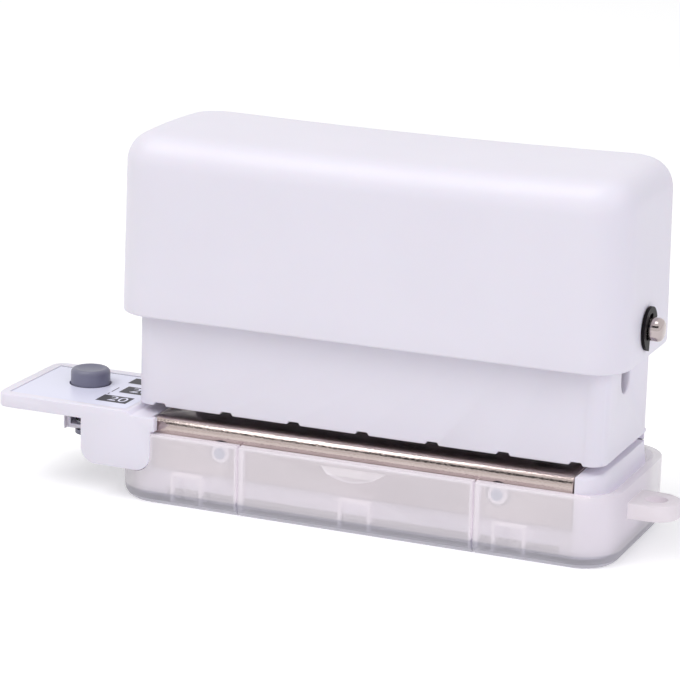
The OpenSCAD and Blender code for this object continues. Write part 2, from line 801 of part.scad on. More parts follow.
// Locating pin: sprung button that stands in a hole already punched
pin_stem_d = 2.4;
pin_body = 1.9;
pin_round = 0.5;
pin_top = gauge_top - label_sunk + pin_h;
pin_shoulder = gauge_top - pin_body;
pin_clip_t = 0.6;
pin_clip_z = gauge_under - socket_h - 2 * seat - pin_clip_t;
pin_tail = 0.3;
module locating_pin() color(GREY) translate([pin_x, 0, 0]) difference() {
    union() {
        translate([0, 0, pin_shoulder])
            cylinder(d = pin_d, h = pin_top - pin_round - pin_shoulder);
        translate([0, 0, pin_top - pin_round])
            cylinder(d1 = pin_d, d2 = pin_d - 2 * pin_round, h = pin_round);
        translate([0, 0, pin_clip_z - pin_tail])
            cylinder(d = pin_stem_d, h = pin_shoulder - pin_clip_z + pin_tail + seat);
    }
    translate([0, 0, pin_clip_z - seat])
        difference() {
            cylinder(d = pin_d, h = pin_clip_t + 2 * seat);
            cylinder(d = pin_stem_d - clip_groove, h = pin_clip_t + over);
        }
}

// Pin clip: snap ring under the socket that keeps the pin in
pin_clip_d = 4.1;
module pin_clip() color(GREY) translate([pin_x, 0, pin_clip_z])
    rotate([0, 0, 90])
        snap_ring(pin_clip_d, pin_stem_d - clip_groove + 2 * run, pin_clip_t, pin_stem_d - 2 * clip_groove);

// Pin spring: from the socket's web up to the pin's shoulder
pin_wire = 0.3;
pin_turns = 3.5;
module pin_spring() color(STEEL) translate([pin_x, 0, 0])
    coil((pin_stem_d + pin_d) / 4, pin_wire, pin_turns,
        gauge_under - socket_h + socket_web + seat, pin_shoulder - seat);

press_cap();
press_shaft();
shaft_clips();
punch_1();
punch_2();
punch_3();
punch_4();
punch_5();
punch_6();
punch_rings();
spring_1();
spring_2();
spring_3();
spring_4();
spring_5();
spring_6();
housing();
guide_plate();
die_plate();
base_frame();
housing_screws();
chip_tray();
tray_door();
paper_gauge();
gauge_label();
gauge_screws();
locating_pin();
pin_clip();
pin_spring();
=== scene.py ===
"""Looks of a six-hole loose-leaf punch: moulded shells, plated steel, a frosted tray and a printed gauge."""

import json
import logging
import math
from dataclasses import dataclass, field
from enum import Enum

import bmesh
import bpy
from bmesh.types import BMEdge, BMesh, BMVert
from bpy.types import ID, Material, Mesh, Node, NodeSocket, NodeTree, Object
from mathutils import Matrix, Vector


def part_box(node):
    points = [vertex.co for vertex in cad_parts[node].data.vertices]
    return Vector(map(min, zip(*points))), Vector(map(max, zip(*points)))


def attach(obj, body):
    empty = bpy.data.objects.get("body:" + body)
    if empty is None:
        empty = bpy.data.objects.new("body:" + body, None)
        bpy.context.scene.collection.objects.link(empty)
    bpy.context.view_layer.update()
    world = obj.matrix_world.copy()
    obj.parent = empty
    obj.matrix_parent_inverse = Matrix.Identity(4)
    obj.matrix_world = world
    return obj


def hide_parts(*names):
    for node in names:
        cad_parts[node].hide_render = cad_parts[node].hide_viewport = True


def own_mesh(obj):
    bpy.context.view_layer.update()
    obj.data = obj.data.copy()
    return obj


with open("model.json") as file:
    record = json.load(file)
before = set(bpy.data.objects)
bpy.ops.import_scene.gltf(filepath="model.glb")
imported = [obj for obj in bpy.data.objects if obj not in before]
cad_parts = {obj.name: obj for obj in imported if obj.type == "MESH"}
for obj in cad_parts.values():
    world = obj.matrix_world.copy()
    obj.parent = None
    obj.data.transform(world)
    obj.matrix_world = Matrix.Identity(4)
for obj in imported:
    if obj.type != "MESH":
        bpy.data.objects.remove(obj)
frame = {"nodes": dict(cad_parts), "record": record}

MM = 0.001
CREASE_DEG = 35.0
Pair = tuple[float, float]
Triple = tuple[float, float, float]
Quad = tuple[float, float, float, float]
log = logging.getLogger("punch")


class Slot(Enum):
    """Material slots of the record, one for each real material on the punch."""

    WHITE_ABS = "white_abs"
    NICKEL_PLATE = "nickel_plate"
    NICKEL_STEEL = "nickel_steel"
    BLACK_STEEL = "black_steel"
    GROUND_STEEL = "ground_steel"
    SPRING_STEEL = "spring_steel"
    ZINC_SCREW = "zinc_screw"
    FROSTED_PE = "frosted_pe"
    PRINTED_LABEL = "printed_label"
    GREY_PLASTIC = "grey_plastic"


class Body(Enum):
    """Bodies that pieces ride on."""

    BASE = "base"
    PRESS = "press"
    PIN = "pin"
    DOOR = "door"


def linear(code: str) -> Quad:
    """Turn an sRGB hex colour to linear RGBA.

    Args:
        code: six hex digits, such as "E2DEE8".

    Returns:
        Linear red, green and blue, and an alpha of 1.
    """
    parts = [int(code[i : i + 2], 16) / 255 for i in (0, 2, 4)]
    red, green, blue = (c / 12.92 if c <= 0.04045 else ((c + 0.055) / 1.055) ** 2.4 for c in parts)
    return red, green, blue, 1.0


def add_node(tree: NodeTree, kind: str, inputs: dict | None = None, **settings) -> Node:
    """Add a node, set its settings, and set or link its inputs.

    Args:
        tree: shader or geometry node tree.
        kind: the node's type name.
        inputs: socket name or number to a value, or to an output socket that is linked.
        settings: attributes of the node.

    Returns:
        The new node.
    """
    node = tree.nodes.new(kind)
    for name, value in settings.items():
        setattr(node, name, value)
    for key, value in (inputs or {}).items():
        if isinstance(value, NodeSocket):
            tree.links.new(value, node.inputs[key])
        else:
            node.inputs[key].default_value = value
    return node


def per_metre(size_mm: float) -> float:
    """Texture scale that gives a feature of this size in millimetres."""
    return 1 / (size_mm * MM)


def new_material(name: str) -> tuple[Material, NodeTree]:
    """Make an empty node material.

    Args:
        name: the material's name.

    Returns:
        The material and its node tree.
    """
    material = bpy.data.materials.new(name)
    material.use_nodes = True
    material.node_tree.nodes.clear()
    return material, material.node_tree


@dataclass(frozen=True)
class Finish:
    """What every finish has: a name, two close colours that drift over the surface, and a roughness."""

    name: str
    colour: str
    shade: str
    roughness: float

    def start(self) -> tuple[Material, NodeTree, NodeSocket]:
        """Make the empty material, and return it with its node tree and the Object coordinates."""
        material, tree = new_material(self.name)
        return material, tree, add_node(tree, "ShaderNodeTexCoord").outputs["Object"]

    def drift(self, tree: NodeTree, noise: Node) -> NodeSocket:
        """Mix the two colours by a noise.

        Args:
            tree: the material's node tree.
            noise: the noise.

        Returns:
            The socket with the colour.
        """
        inputs = {"Factor": noise.outputs["Fac"], "A": linear(self.colour), "B": linear(self.shade)}
        return add_node(tree, "ShaderNodeMix", inputs, data_type="RGBA").outputs["Result"]

    def close(self, tree: NodeTree, inputs: dict) -> None:
        """Add the shader and the output.

        Args:
            tree: the material's node tree.
            inputs: the shader's inputs.
        """
        shader = add_node(tree, "ShaderNodeBsdfPrincipled", inputs)
        add_node(tree, "ShaderNodeOutputMaterial", {"Surface": shader.outputs["BSDF"]})


@dataclass(frozen=True)
class MouldedPlastic(Finish):
    """Injection-moulded plastic: one even colour, a fine spark-eroded grain and a satin gloss."""

    spread: float = 0.06
    cloud_mm: float = 14.0
    # Real grain is finer: it is drawn coarse enough to show
    grain_mm: float = 0.35
    grain_depth_mm: float = 0.006
    ior: float = 1.53
    sss: float = 0.0
    sss_mm: float = 0.6

    def build(self) -> Material:
        """Build the material and return it."""
        material, tree, place = self.start()
        cloud = add_node(
            tree, "ShaderNodeTexNoise", {"Vector": place, "Scale": per_metre(self.cloud_mm), "Detail": 3.0}
        )
        grain = add_node(
            tree, "ShaderNodeTexNoise", {"Vector": place, "Scale": per_metre(self.grain_mm), "Detail": 2.0}
        )
        low, high = self.roughness - self.spread, self.roughness + self.spread
        rough = add_node(
            tree, "ShaderNodeMapRange", {"Value": cloud.outputs["Fac"], "To Min": low, "To Max": high}
        )
        bump = add_node(
            tree, "ShaderNodeBump",
            {"Height": grain.outputs["Fac"], "Strength": 0.35, "Distance": self.grain_depth_mm * MM},
        )
        self.close(
            tree,
            {
                "Base Color": self.drift(tree, cloud), "Roughness": rough.outputs["Result"], "IOR": self.ior,
                "Normal": bump.outputs["Normal"], "Subsurface Weight": self.sss,
                "Subsurface Scale": self.sss_mm * MM,
            },
        )
        return material


@dataclass(frozen=True)
class WorkedMetal(Finish):
    """Metal with the fine lines that rolling, turning or grinding leaves along one direction."""

    spread: float = 0.08
    # Real lines are finer: they are drawn coarse enough to show
    line_mm: float = 0.12
    stretch: Triple = (0.02, 1.0, 1.0)
    depth_mm: float = 0.004
    stain_mm: float = 6.0
    metallic: float = 1.0
    specular: float = 0.5

    def build(self) -> Material:
        """Build the material and return it."""
        material, tree, place = self.start()
        along = add_node(tree, "ShaderNodeMapping", {"Vector": place, "Scale": self.stretch})
        lines = add_node(
            tree, "ShaderNodeTexNoise",
            {"Vector": along.outputs["Vector"], "Scale": per_metre(self.line_mm), "Detail": 3.0},
        )
        stain = add_node(
            tree, "ShaderNodeTexNoise", {"Vector": place, "Scale": per_metre(self.stain_mm), "Detail": 4.0}
        )
        low, high = self.roughness - self.spread, self.roughness + self.spread
        rough = add_node(
            tree, "ShaderNodeMapRange", {"Value": lines.outputs["Fac"], "To Min": low, "To Max": high}
        )
        bump = add_node(
            tree, "ShaderNodeBump",
            {"Height": lines.outputs["Fac"], "Strength": 0.4, "Distance": self.depth_mm * MM},
        )
        self.close(
            tree,
            {
                "Base Color": self.drift(tree, stain), "Metallic": self.metallic,
                "Roughness": rough.outputs["Result"], "Normal": bump.outputs["Normal"],
                "Specular IOR Level": self.specular,
            },
        )
        return material


@dataclass(frozen=True)
class FrostedPolyethylene(Finish):
    """Soft polyethylene moulded against an etched tool: milky, half clear, with a dull sheen; its bottom edge
    has painted shade.
    """

    alpha: float
    # Colour of the painted shade along the bottom edge, where the shaded space under the tray would show
    # through
    foot: str
    shaded_foot_mm: Pair = (1.85, 2.2)
    cloud_mm: float = 9.0
    # Real etching is finer: it is drawn coarse enough to show
    etch_mm: float = 0.3
    etch_depth_mm: float = 0.005
    ior: float = 1.51

    def build(self) -> Material:
        """Build the material, greyed along its bottom edge by painted shade, and return it."""
        material, tree, place = self.start()
        cloud = add_node(
            tree, "ShaderNodeTexNoise", {"Vector": place, "Scale": per_metre(self.cloud_mm), "Detail": 3.0}
        )
        etch = add_node(
            tree, "ShaderNodeTexNoise", {"Vector": place, "Scale": per_metre(self.etch_mm), "Detail": 2.0}
        )
        height = add_node(tree, "ShaderNodeSeparateXYZ", {"Vector": place})
        low, high = (z * MM for z in self.shaded_foot_mm)
        # Painted shade: below this height band the colour turns to the grey of the foot
        rise = add_node(
            tree, "ShaderNodeMapRange", {"Value": height.outputs["Z"], "From Min": low, "From Max": high},
            interpolation_type="SMOOTHSTEP",
        )
        tint_and_shade = add_node(
            tree, "ShaderNodeMix",
            {"Factor": rise.outputs["Result"], "A": linear(self.foot), "B": self.drift(tree, cloud)},
            data_type="RGBA",
        )
        bump = add_node(
            tree, "ShaderNodeBump",
            {"Height": etch.outputs["Fac"], "Strength": 0.3, "Distance": self.etch_depth_mm * MM},
        )
        self.close(
            tree,
            {
                "Base Color": tint_and_shade.outputs["Result"], "Roughness": self.roughness, "IOR": self.ior,
                "Normal": bump.outputs["Normal"], "Alpha": self.alpha,
            },
        )
        return material


FINISHES: dict[Slot, MouldedPlastic | WorkedMetal | FrostedPolyethylene] = {
    # White ABS: opaque, satin, slightly cool, with a soft highlight along every rounded edge
    Slot.WHITE_ABS: MouldedPlastic("White moulded ABS", "F2EEF9", "EDE9F4", 0.42, sss=0.05),
    # Bright nickel on rolled sheet: warm grey mirror broken into fine lines along the fold
    Slot.NICKEL_PLATE: WorkedMetal(
        "Nickel-plated rolled steel", "C6B8B4", "B8A9A5", 0.17,
        line_mm=0.16, stretch=(0.4, 1.0, 1.0), depth_mm=0.05,
    ),
    # Bright nickel on a turned bar: the same warm grey with rings round the bar
    Slot.NICKEL_STEEL: WorkedMetal(
        "Nickel-plated turned steel", "C2B7B6", "AFA3A2", 0.12, stretch=(1.0, 0.1, 0.1)
    ),
    # Black oxide on spring steel: nearly black with a dull oily sheen
    Slot.BLACK_STEEL: WorkedMetal(
        "Black oxide spring steel", "1B171C", "131014", 0.4, metallic=0.0, specular=0.08
    ),
    # Ground tool steel: dark neutral grey with rings from the grinding wheel
    Slot.GROUND_STEEL: WorkedMetal("Ground tool steel", "77797D", "606267", 0.3, stretch=(0.1, 0.1, 1.0)),
    # Drawn spring wire: grey, and faintly mottled by the die
    Slot.SPRING_STEEL: WorkedMetal("Drawn spring wire", "9FA1A5", "85878C", 0.32, stretch=(1.0, 1.0, 1.0)),
    # Zinc plate: pale bluish grey and a little cloudy
    Slot.ZINC_SCREW: WorkedMetal(
        "Zinc-plated screw steel", "B9BDC2", "A2A7AE", 0.38, stretch=(1.0, 1.0, 1.0)
    ),
    # Frosted polyethylene: milky film that lets the steel behind it show as a soft shadow; its bottom edge
    # has painted shade
    Slot.FROSTED_PE: FrostedPolyethylene(
        "Frosted polyethylene", "FCF6FA", "F7F1F6", 0.36, alpha=0.5, foot="C9C6CF"
    ),
    # Printed film: cool white with a slight gloss
    Slot.PRINTED_LABEL: MouldedPlastic(
        "Printed polyester film", "EEEEFF", "E8E8FC", 0.3, grain_depth_mm=0.002
    ),
    # Grey acetal: dark bluish grey with a dull moulded skin
    Slot.GREY_PLASTIC: MouldedPlastic("Grey moulded acetal", "7D7D90", "727285", 0.42),
}


@dataclass
class Palette:
    """The finishes as Blender materials, made once each."""

    made: dict[str, Material] = field(default_factory=dict)

    def of(self, slot: Slot) -> Material:
        """Return the material of a slot, making it the first time."""
        if slot.value not in self.made:
            self.made[slot.value] = FINISHES[slot].build()
        return self.made[slot.value]

    def dress_nodes(self) -> None:
        """Give every CAD node the material of its slot in the record."""
        for part in frame["record"]["subparts"]:
            mesh = frame["nodes"][part["node"]].data
            mesh.materials.clear()
            mesh.materials.append(self.of(Slot(part["material_slot"])))


def new_object(name: str, data: ID) -> Object:
    """Add an object to the scene.

    Args:
        name: its name.
        data: its mesh, curve, lamp or camera.

    Returns:
        The object.
    """
    item = bpy.data.objects.new(name, data)
    bpy.context.scene.collection.objects.link(item)
    return item


def new_piece(
    mesh: Mesh, body: Body, slot: Slot, palette: Palette, material: Material | None = None
) -> Object:
    """Link a finished mesh as a piece of the same name that rides on a body.

    Args:
        mesh: its mesh, in the part's frame.
        body: the body it moves with.
        slot: the record's slot for its finish.
        palette: the scene's materials.
        material: a finish of its own, where the slot's isn't meant.

    Returns:
        The piece. Frosted plastic casts no shadow, because it scatters light forward.
    """
    piece = new_object(mesh.name, mesh)
    if not mesh.materials:
        mesh.materials.append(material or palette.of(slot))
    piece.visible_shadow = slot is not Slot.FROSTED_PE
    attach(piece, body.value)
    log.info("%s: %d faces on %s", piece.name, len(mesh.polygons), body.value)
    return piece


def smooth_mesh(name: str, bm: BMesh) -> Mesh:
    """Turn a BMesh to a mesh, smooth except at creases.

    Args:
        name: the mesh's name.
        bm: its geometry, which is freed.

    Returns:
        The mesh.
    """
    mesh = bpy.data.meshes.new(name)
    bm.to_mesh(mesh)
    bm.free()
    mesh.shade_smooth()
    mesh.set_sharp_from_angle(angle=math.radians(CREASE_DEG))
    return mesh


@dataclass(frozen=True)
class Rounding:
    """Rounded edges of a shell: fine all over, and wider inside a box that is alike on the left and right."""

    fine_mm: float
    wide_mm: float = 0.0
    low_mm: Triple = (0.0, 0.0, 0.0)
    high_mm: Triple = (0.0, 0.0, 0.0)
    segments: int = 2
    weld_mm: float = 0.002
    flat_deg: float = 0.5

    def inside(self, point: Vector) -> bool:
        """Return whether a point lies in the box of the wide edges."""
        place = (abs(point.x) / MM, point.y / MM, point.z / MM)
        return all(low <= value <= high for low, value, high in zip(self.low_mm, place, self.high_mm))

    def bevel(self, bm: BMesh, edge_mm: float, edges: list[BMEdge]) -> None:
        """Round some edges.

        Args:
            bm: the shell's geometry.
            edge_mm: width of a rounded edge.
            edges: the edges.
        """
        bmesh.ops.bevel(
            bm, geom=edges, offset=edge_mm * MM, offset_type="OFFSET", segments=self.segments, profile=0.5,
            affect="EDGES", clamp_overlap=False,
        )

    def sharp(self, bm: BMesh, boxed: bool) -> list[BMEdge]:
        """Find the edges that a mould or a deburring would round.

        Args:
            bm: the shell's geometry.
            boxed: whether they are the ones in the box of the wide edges, or the others.

        Returns:
            The edges.
        """
        limit = math.radians(CREASE_DEG)
        bends = [e for e in bm.edges if len(e.link_faces) == 2 and e.calc_face_angle(0.0) > limit]
        return [e for e in bends if all(self.inside(v.co) for v in e.verts) == boxed]

    def copy(self, node: str) -> Mesh:
        """Copy a CAD node's mesh with its sharp edges rounded.

        Args:
            node: the CAD node.

        Returns:
            The new mesh.
        """
        bm = bmesh.new()
        bm.from_mesh(frame["nodes"][node].data)
        bmesh.ops.remove_doubles(bm, verts=bm.verts, dist=self.weld_mm * MM)
        flat = math.radians(self.flat_deg)
        bmesh.ops.dissolve_limit(bm, angle_limit=flat, verts=bm.verts, edges=bm.edges)
        if self.wide_mm:
            self.bevel(bm, self.wide_mm, self.sharp(bm, True))
        self.bevel(bm, self.fine_mm, self.sharp(bm, False))
        return smooth_mesh(node + "_rounded", bm)


def bridge(bm: BMesh, first: list[BMVert], second: list[BMVert]) -> None:
    """Join two rings of points by a band of faces.

    Args:
        bm: the geometry that they are in.
        first: one ring.
        second: the other ring, with as many points. A ring on an axis is one point many times.
    """
    for i in range(len(first)):
        j = (i + 1) % len(first)
        bm.faces.new(list(dict.fromkeys((first[i], first[j], second[j], second[i]))))


def lathe(name: str, profile_mm: list[Pair], place: Matrix, sides: int = 48) -> Mesh:
    """Turn a profile about its axis, as on a lathe.

    Args:
        name: the mesh's name.
        profile_mm: radius and height of each point from top to bottom, the first and last on the axis.
        place: puts the turned form, which stands on Z, in the part's frame.
        sides: facets round the axis.

    Returns:
        The mesh.
    """
    bm = bmesh.new()
    rings = []
    for radius, height in profile_mm:
        if radius == 0:
            rings.append([bm.verts.new((0.0, 0.0, height * MM))] * sides)
            continue
        turns = [2 * math.pi * i / sides for i in range(sides)]
        points = [(radius * MM * math.cos(a), radius * MM * math.sin(a)) for a in turns]
        rings.append([bm.verts.new((x, y, height * MM)) for x, y in points])
    for upper, lower in zip(rings, rings[1:]):
        bridge(bm, lower, upper)
    bmesh.ops.transform(bm, matrix=place, verts=bm.verts)
    return smooth_mesh(name, bm)


def new_group(name: str, inputs: tuple[str, ...]) -> tuple[NodeTree, dict[str, NodeSocket]]:
    """Make a geometry node group with named number inputs.

    Args:
        name: the group's name.
        inputs: names of its inputs.

    Returns:
        The group, and the sockets that carry its inputs.
    """
    group = bpy.data.node_groups.new(name, "GeometryNodeTree")
    group.interface.new_socket("Geometry", in_out="OUTPUT", socket_type="NodeSocketGeometry")
    for label in inputs:
        group.interface.new_socket(label, in_out="INPUT", socket_type="NodeSocketFloat")
    entry = group.nodes.new("NodeGroupInput")
    return group, {label: entry.outputs[label] for label in inputs}


def end_group(group: NodeTree, shape: NodeSocket, material: Material) -> None:
    """Realise a group's shape, give it its material and send it out.

    Args:
        group: the geometry node group.
        shape: the socket with its geometry.
        material: the material of every face.
    """
    real = add_node(group, "GeometryNodeRealizeInstances", {"Geometry": shape})
    dressed = add_node(
        group, "GeometryNodeSetMaterial", {"Geometry": real.outputs["Geometry"], "Material": material}
    )
    add_node(group, "NodeGroupOutput", {"Geometry": dressed.outputs["Geometry"]})


def grow(group: NodeTree, name: str, values: dict[str, float]) -> Mesh:
    """Evaluate a geometry node group to a mesh.

    Args:
        group: the group.
        name: the mesh's name.
        values: number for each named input.

    Returns:
        The mesh.
    """
    host = new_object(name, bpy.data.meshes.new(name + "_host"))
    modifier = host.modifiers.new("grow", "NODES")
    modifier.node_group = group
    for item in group.interface.items_tree:
        if item.in_out == "INPUT":
            modifier[item.identifier] = values[item.name]
    graph = bpy.context.evaluated_depsgraph_get()
    grown = host.evaluated_get(graph)
    mesh = bpy.data.meshes.new_from_object(grown, preserve_all_data_layers=True, depsgraph=graph)
    host.modifiers.remove(modifier)
    bpy.data.objects.remove(host)
    mesh.name = name
    mesh.shade_smooth()
    mesh.set_sharp_from_angle(angle=math.radians(CREASE_DEG))
    return mesh


@dataclass
class Shells:
    """Moulded and pressed pieces whose CAD shape is right and only needs its edges rounded."""

    palette: Palette
    edges: dict[str, Rounding] = field(
        default_factory=lambda: {
            "housing": Rounding(0.12, 0.25, (0.0, -9.0, 14.0), (40.0, 20.0, 40.0)),
            "base_frame": Rounding(0.08, 0.5, (29.5, -12.0, 9.8), (40.0, 9.9, 13.0)),
            "paper_gauge": Rounding(0.08, 0.25, (32.2, -12.0, 10.6), (60.0, 5.0, 13.0)),
            "die_plate": Rounding(0.12),
            "guide_plate": Rounding(0.12),
            "chip_tray": Rounding(0.1),
            "tray_door": Rounding(0.1),
        }
    )
    block_x_mm: float = 28.95
    block_low_mm: float = 9.0
    block_lean_mm: float = 1.0

    def draft_block(self, mesh: Mesh) -> None:
        """Give the right end block of the base its draft: it leans in from the tray's wall towards the top.

        Args:
            mesh: the base's mesh.
        """
        start, low, lean = (v * MM for v in (self.block_x_mm, self.block_low_mm, self.block_lean_mm))
        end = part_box("base_frame")[1][0]
        for vertex in mesh.vertices:
            if vertex.co.x > start and vertex.co.z > low:
                vertex.co.x -= lean * (vertex.co.x - start) / (end - start)

    def build(self) -> None:
        """Replace each listed node by its rounded copy."""
        parts = {p["node"]: p for p in frame["record"]["subparts"]}
        for node, rounding in self.edges.items():
            body = Body.DOOR if node == "tray_door" else Body.BASE
            slot = Slot(parts[node]["material_slot"])
            mesh = rounding.copy(node)
            if node == "base_frame":
                self.draft_block(mesh)
            piece = new_piece(mesh, body, slot, self.palette)
            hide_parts(node)


@dataclass
class EndLips:
    """Lips along the lower edges of the housing's ends, which carry the front lip on round the corners."""

    palette: Palette
    thick_mm: float = 1.0
    low_mm: Pair = (12.6, 12.9)
    high_mm: float = 13.41
    corner_mm: float = 2.2
    start_deg: float = -33.0
    rear_mm: float = 10.3
    edge_mm: float = 0.1
    steps: int = 8

    def outline(self, inset_mm: float) -> list[Pair]:
        """Trace one side of the right lip from the front corner to the rear.

        Args:
            inset_mm: how far it lies inside the housing's wall.

        Returns:
            Points in plan, in millimetres.
        """
        (_, front, _), (half, _, _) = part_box("housing")
        x, y, r = half / MM - self.corner_mm, front / MM + self.corner_mm, self.corner_mm - inset_mm
        turns = [math.radians(self.start_deg * (1 - i / self.steps)) for i in range(self.steps + 1)]
        return [(x + r * math.cos(a), y + r * math.sin(a)) for a in turns] + [(x + r, self.rear_mm)]

    def build(self) -> None:
        """Add both lips."""
        bm = bmesh.new()
        for side, low in zip((-1, 1), self.low_mm):
            rows = []
            for outer, inner in zip(self.outline(0.0), self.outline(self.thick_mm)):
                corners = ((outer, low), (inner, low), (inner, self.high_mm), (outer, self.high_mm))
                rows.append([bm.verts.new((side * x * MM, y * MM, z * MM)) for (x, y), z in corners])
            for first, second in zip(rows, rows[1:]):
                bridge(bm, first, second)
            bm.faces.new(rows[0])
            bm.faces.new(rows[-1])
        bmesh.ops.recalc_face_normals(bm, faces=bm.faces)
        top, limit = (self.high_mm - self.edge_mm) * MM, math.radians(CREASE_DEG)
        lower = [e for e in bm.edges if all(v.co.z < top for v in e.verts) and e.calc_face_angle(0.0) > limit]
        bmesh.ops.bevel(
            bm, geom=lower, offset=self.edge_mm * MM, offset_type="OFFSET", segments=2, profile=0.5,
            affect="EDGES",
        )
        new_piece(smooth_mesh("housing_end_lips", bm), Body.BASE, Slot.WHITE_ABS, self.palette)


@dataclass
class TrayDetails:
    """What the frosted wall shows of the tray's own form: thick edges, U-ribs and snap bumps, with painted
    shade on its bottom edge and in the bumps' cores.
    """

    palette: Palette
    wall_mm: float = 1.2
    bar_mm: Pair = (-0.6, 0.1)
    slit_half_mm: float = 16.0
    slit_mm: float = 0.3
    edge_mm: float = 0.5
    edge_low_mm: float = 0.8
    rim_mm: float = 0.5
    rim_end_mm: float = 3.0
    hook_x_mm: Pair = (-23.6, 20.8)
    hook_mm: Triple = (4.4, 0.6, 4.7)
    line_mm: float = 0.35
    bump_x_mm: float = 19.0
    bump_z_mm: float = 8.2
    bump_mm: float = 1.25
    bump_y_mm: Pair = (-0.1, 1.0)
    core_mm: float = 0.75
    core_y_mm: Pair = (-0.4, -0.15)
    dome: tuple[Pair, ...] = ((0.0, 0.0), (0.6, 0.1), (0.9, 0.4), (1.0, 1.0))
    dome_sides: int = 32
    eye_mm: float = 34.25
    lip_mm: float = 0.05
    # Painted shade: faces of the tray and the door below this height get the grey foot finish
    shaded_foot_mm: float = 1.0
    # Thick polyethylene: the same milky white, but it hides what lies behind it
    thick: FrostedPolyethylene = FrostedPolyethylene(
        "Thick frosted polyethylene", "FDF7FB", "F8F2F7", 0.36, alpha=0.82, foot="CBC9D2"
    )
    # Polyethylene of the finger lip: a second layer over the wall, so a little milkier
    lip: FrostedPolyethylene = FrostedPolyethylene(
        "Frosted polyethylene lip", "FDF7FB", "F8F2F7", 0.36, alpha=0.57, foot="C9C6CF"
    )
    # Polyethylene of the rounded bottom edge: more opaque where wall and floor meet, and grey from painted
    # shade of the down-facing rounding
    foot: FrostedPolyethylene = FrostedPolyethylene(
        "Frosted polyethylene foot", "CCC9D3", "C8C5CF", 0.36, alpha=0.8, foot="C8C5CF"
    )
    # Solid polyethylene: thick enough to be opaque, and a little warm
    solid: FrostedPolyethylene = FrostedPolyethylene(
        "Solid polyethylene eye", "FBF3F7", "F6EEF3", 0.36, alpha=0.88, foot="F6EEF3"
    )
    # Core of a snap bump: painted light, the cold grey of the gap behind it, laid on a nearly opaque core
    clear: FrostedPolyethylene = FrostedPolyethylene(
        "Clear polyethylene bump", "BCC2D2", "B5BBCB", 0.3, alpha=0.9, foot="BCC2D2"
    )

    def inside_mm(self) -> float:
        """Return where the inside of the front wall is."""
        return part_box("chip_tray")[0][1] / MM + self.wall_mm

    def bar(self, bm: BMesh, x_mm: Pair, z_mm: Pair) -> None:
        """Mould a bar on the inside of the front wall.

        Args:
            bm: the geometry that it is added to.
            x_mm: its two sides.
            z_mm: its lower and its upper end.
        """
        spans = (sorted(x_mm), [self.inside_mm() + y for y in self.bar_mm], z_mm)
        middle = Vector([(low + high) / 2 for low, high in spans]) * MM
        size = Matrix.Diagonal([(high - low) * MM for low, high in spans] + [1.0])
        bmesh.ops.create_cube(bm, size=1.0, matrix=Matrix.Translation(middle) @ size)

    def edges(self, bm: BMesh, body: Body) -> None:
        """Mould the thick edges along the slits and the top.

        Args:
            bm: the geometry that they are added to.
            body: whether they are on the tray or on its door.
        """
        (left, _, _), (_, _, top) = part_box("chip_tray")
        left, top = left / MM, top / MM
        if body is Body.DOOR:
            upright = (self.slit_half_mm - self.edge_mm, self.slit_half_mm)
            rim = (0.0, upright[0])
        else:
            near = self.slit_half_mm + self.slit_mm
            upright = (near, near + self.edge_mm)
            rim = (upright[1], -left - self.rim_end_mm)
        for side in (-1, 1):
            for ends, low in ((upright, self.edge_low_mm), (rim, top - self.rim_mm)):
                self.bar(bm, (side * ends[0], side * ends[1]), (low, top))

    def hook(self, bm: BMesh, x_mm: float) -> None:
        """Mould a U-shaped rib.

        Args:
            bm: the geometry that it is added to.
            x_mm: its middle.
        """
        width, low, high = self.hook_mm
        left, right, line = x_mm - width / 2, x_mm + width / 2, self.line_mm
        self.bar(bm, (left, left + line), (low, high))
        self.bar(bm, (right - line, right), (low, high))
        self.bar(bm, (left + line, right - line), (high - line, high))

    def bumps(self, name: str, radius_mm: float, y_mm: Pair) -> Mesh:
        """Mould the two snap bumps, or their cores, as flat domes.

        Args:
            name: the mesh's name.
            radius_mm: radius of a dome.
            y_mm: distance from the inside of the wall to its front and to its top.

        Returns:
            The mesh.
        """
        front, top = y_mm
        profile = [(radius_mm * r, top - (top - front) / 2 * drop) for r, drop in self.dome]
        profile += [(radius_mm, front), (0.0, front)]
        stand = Matrix.Rotation(-math.pi / 2, 4, "X")
        both = bmesh.new()
        for side in (-1, 1):
            place = Matrix.Translation(
                (side * self.bump_x_mm * MM, self.inside_mm() * MM, self.bump_z_mm * MM)
            )
            both.from_mesh(lathe(name + "_dome", profile, place @ stand, self.dome_sides))
        return smooth_mesh(name, both)

    def thicken_and_shade(self) -> None:
        """Give the lanyard eye and the door's finger lip the look of thicker plastic, and paint shade on the
        bottom edge.
        """
        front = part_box("chip_tray")[0][1] - self.lip_mm * MM
        foot = self.foot.build()
        for name, finish in (("chip_tray_rounded", self.solid), ("tray_door_rounded", self.lip)):
            mesh = bpy.data.objects[name].data
            mesh.materials.append(finish.build())
            mesh.materials.append(foot)
            for face in mesh.polygons:
                if face.center.x > self.eye_mm * MM or face.center.y < front:
                    face.material_index = 1
                # Faces of the bottom edge get the painted shade
                elif face.center.z < self.shaded_foot_mm * MM:
                    face.material_index = 2

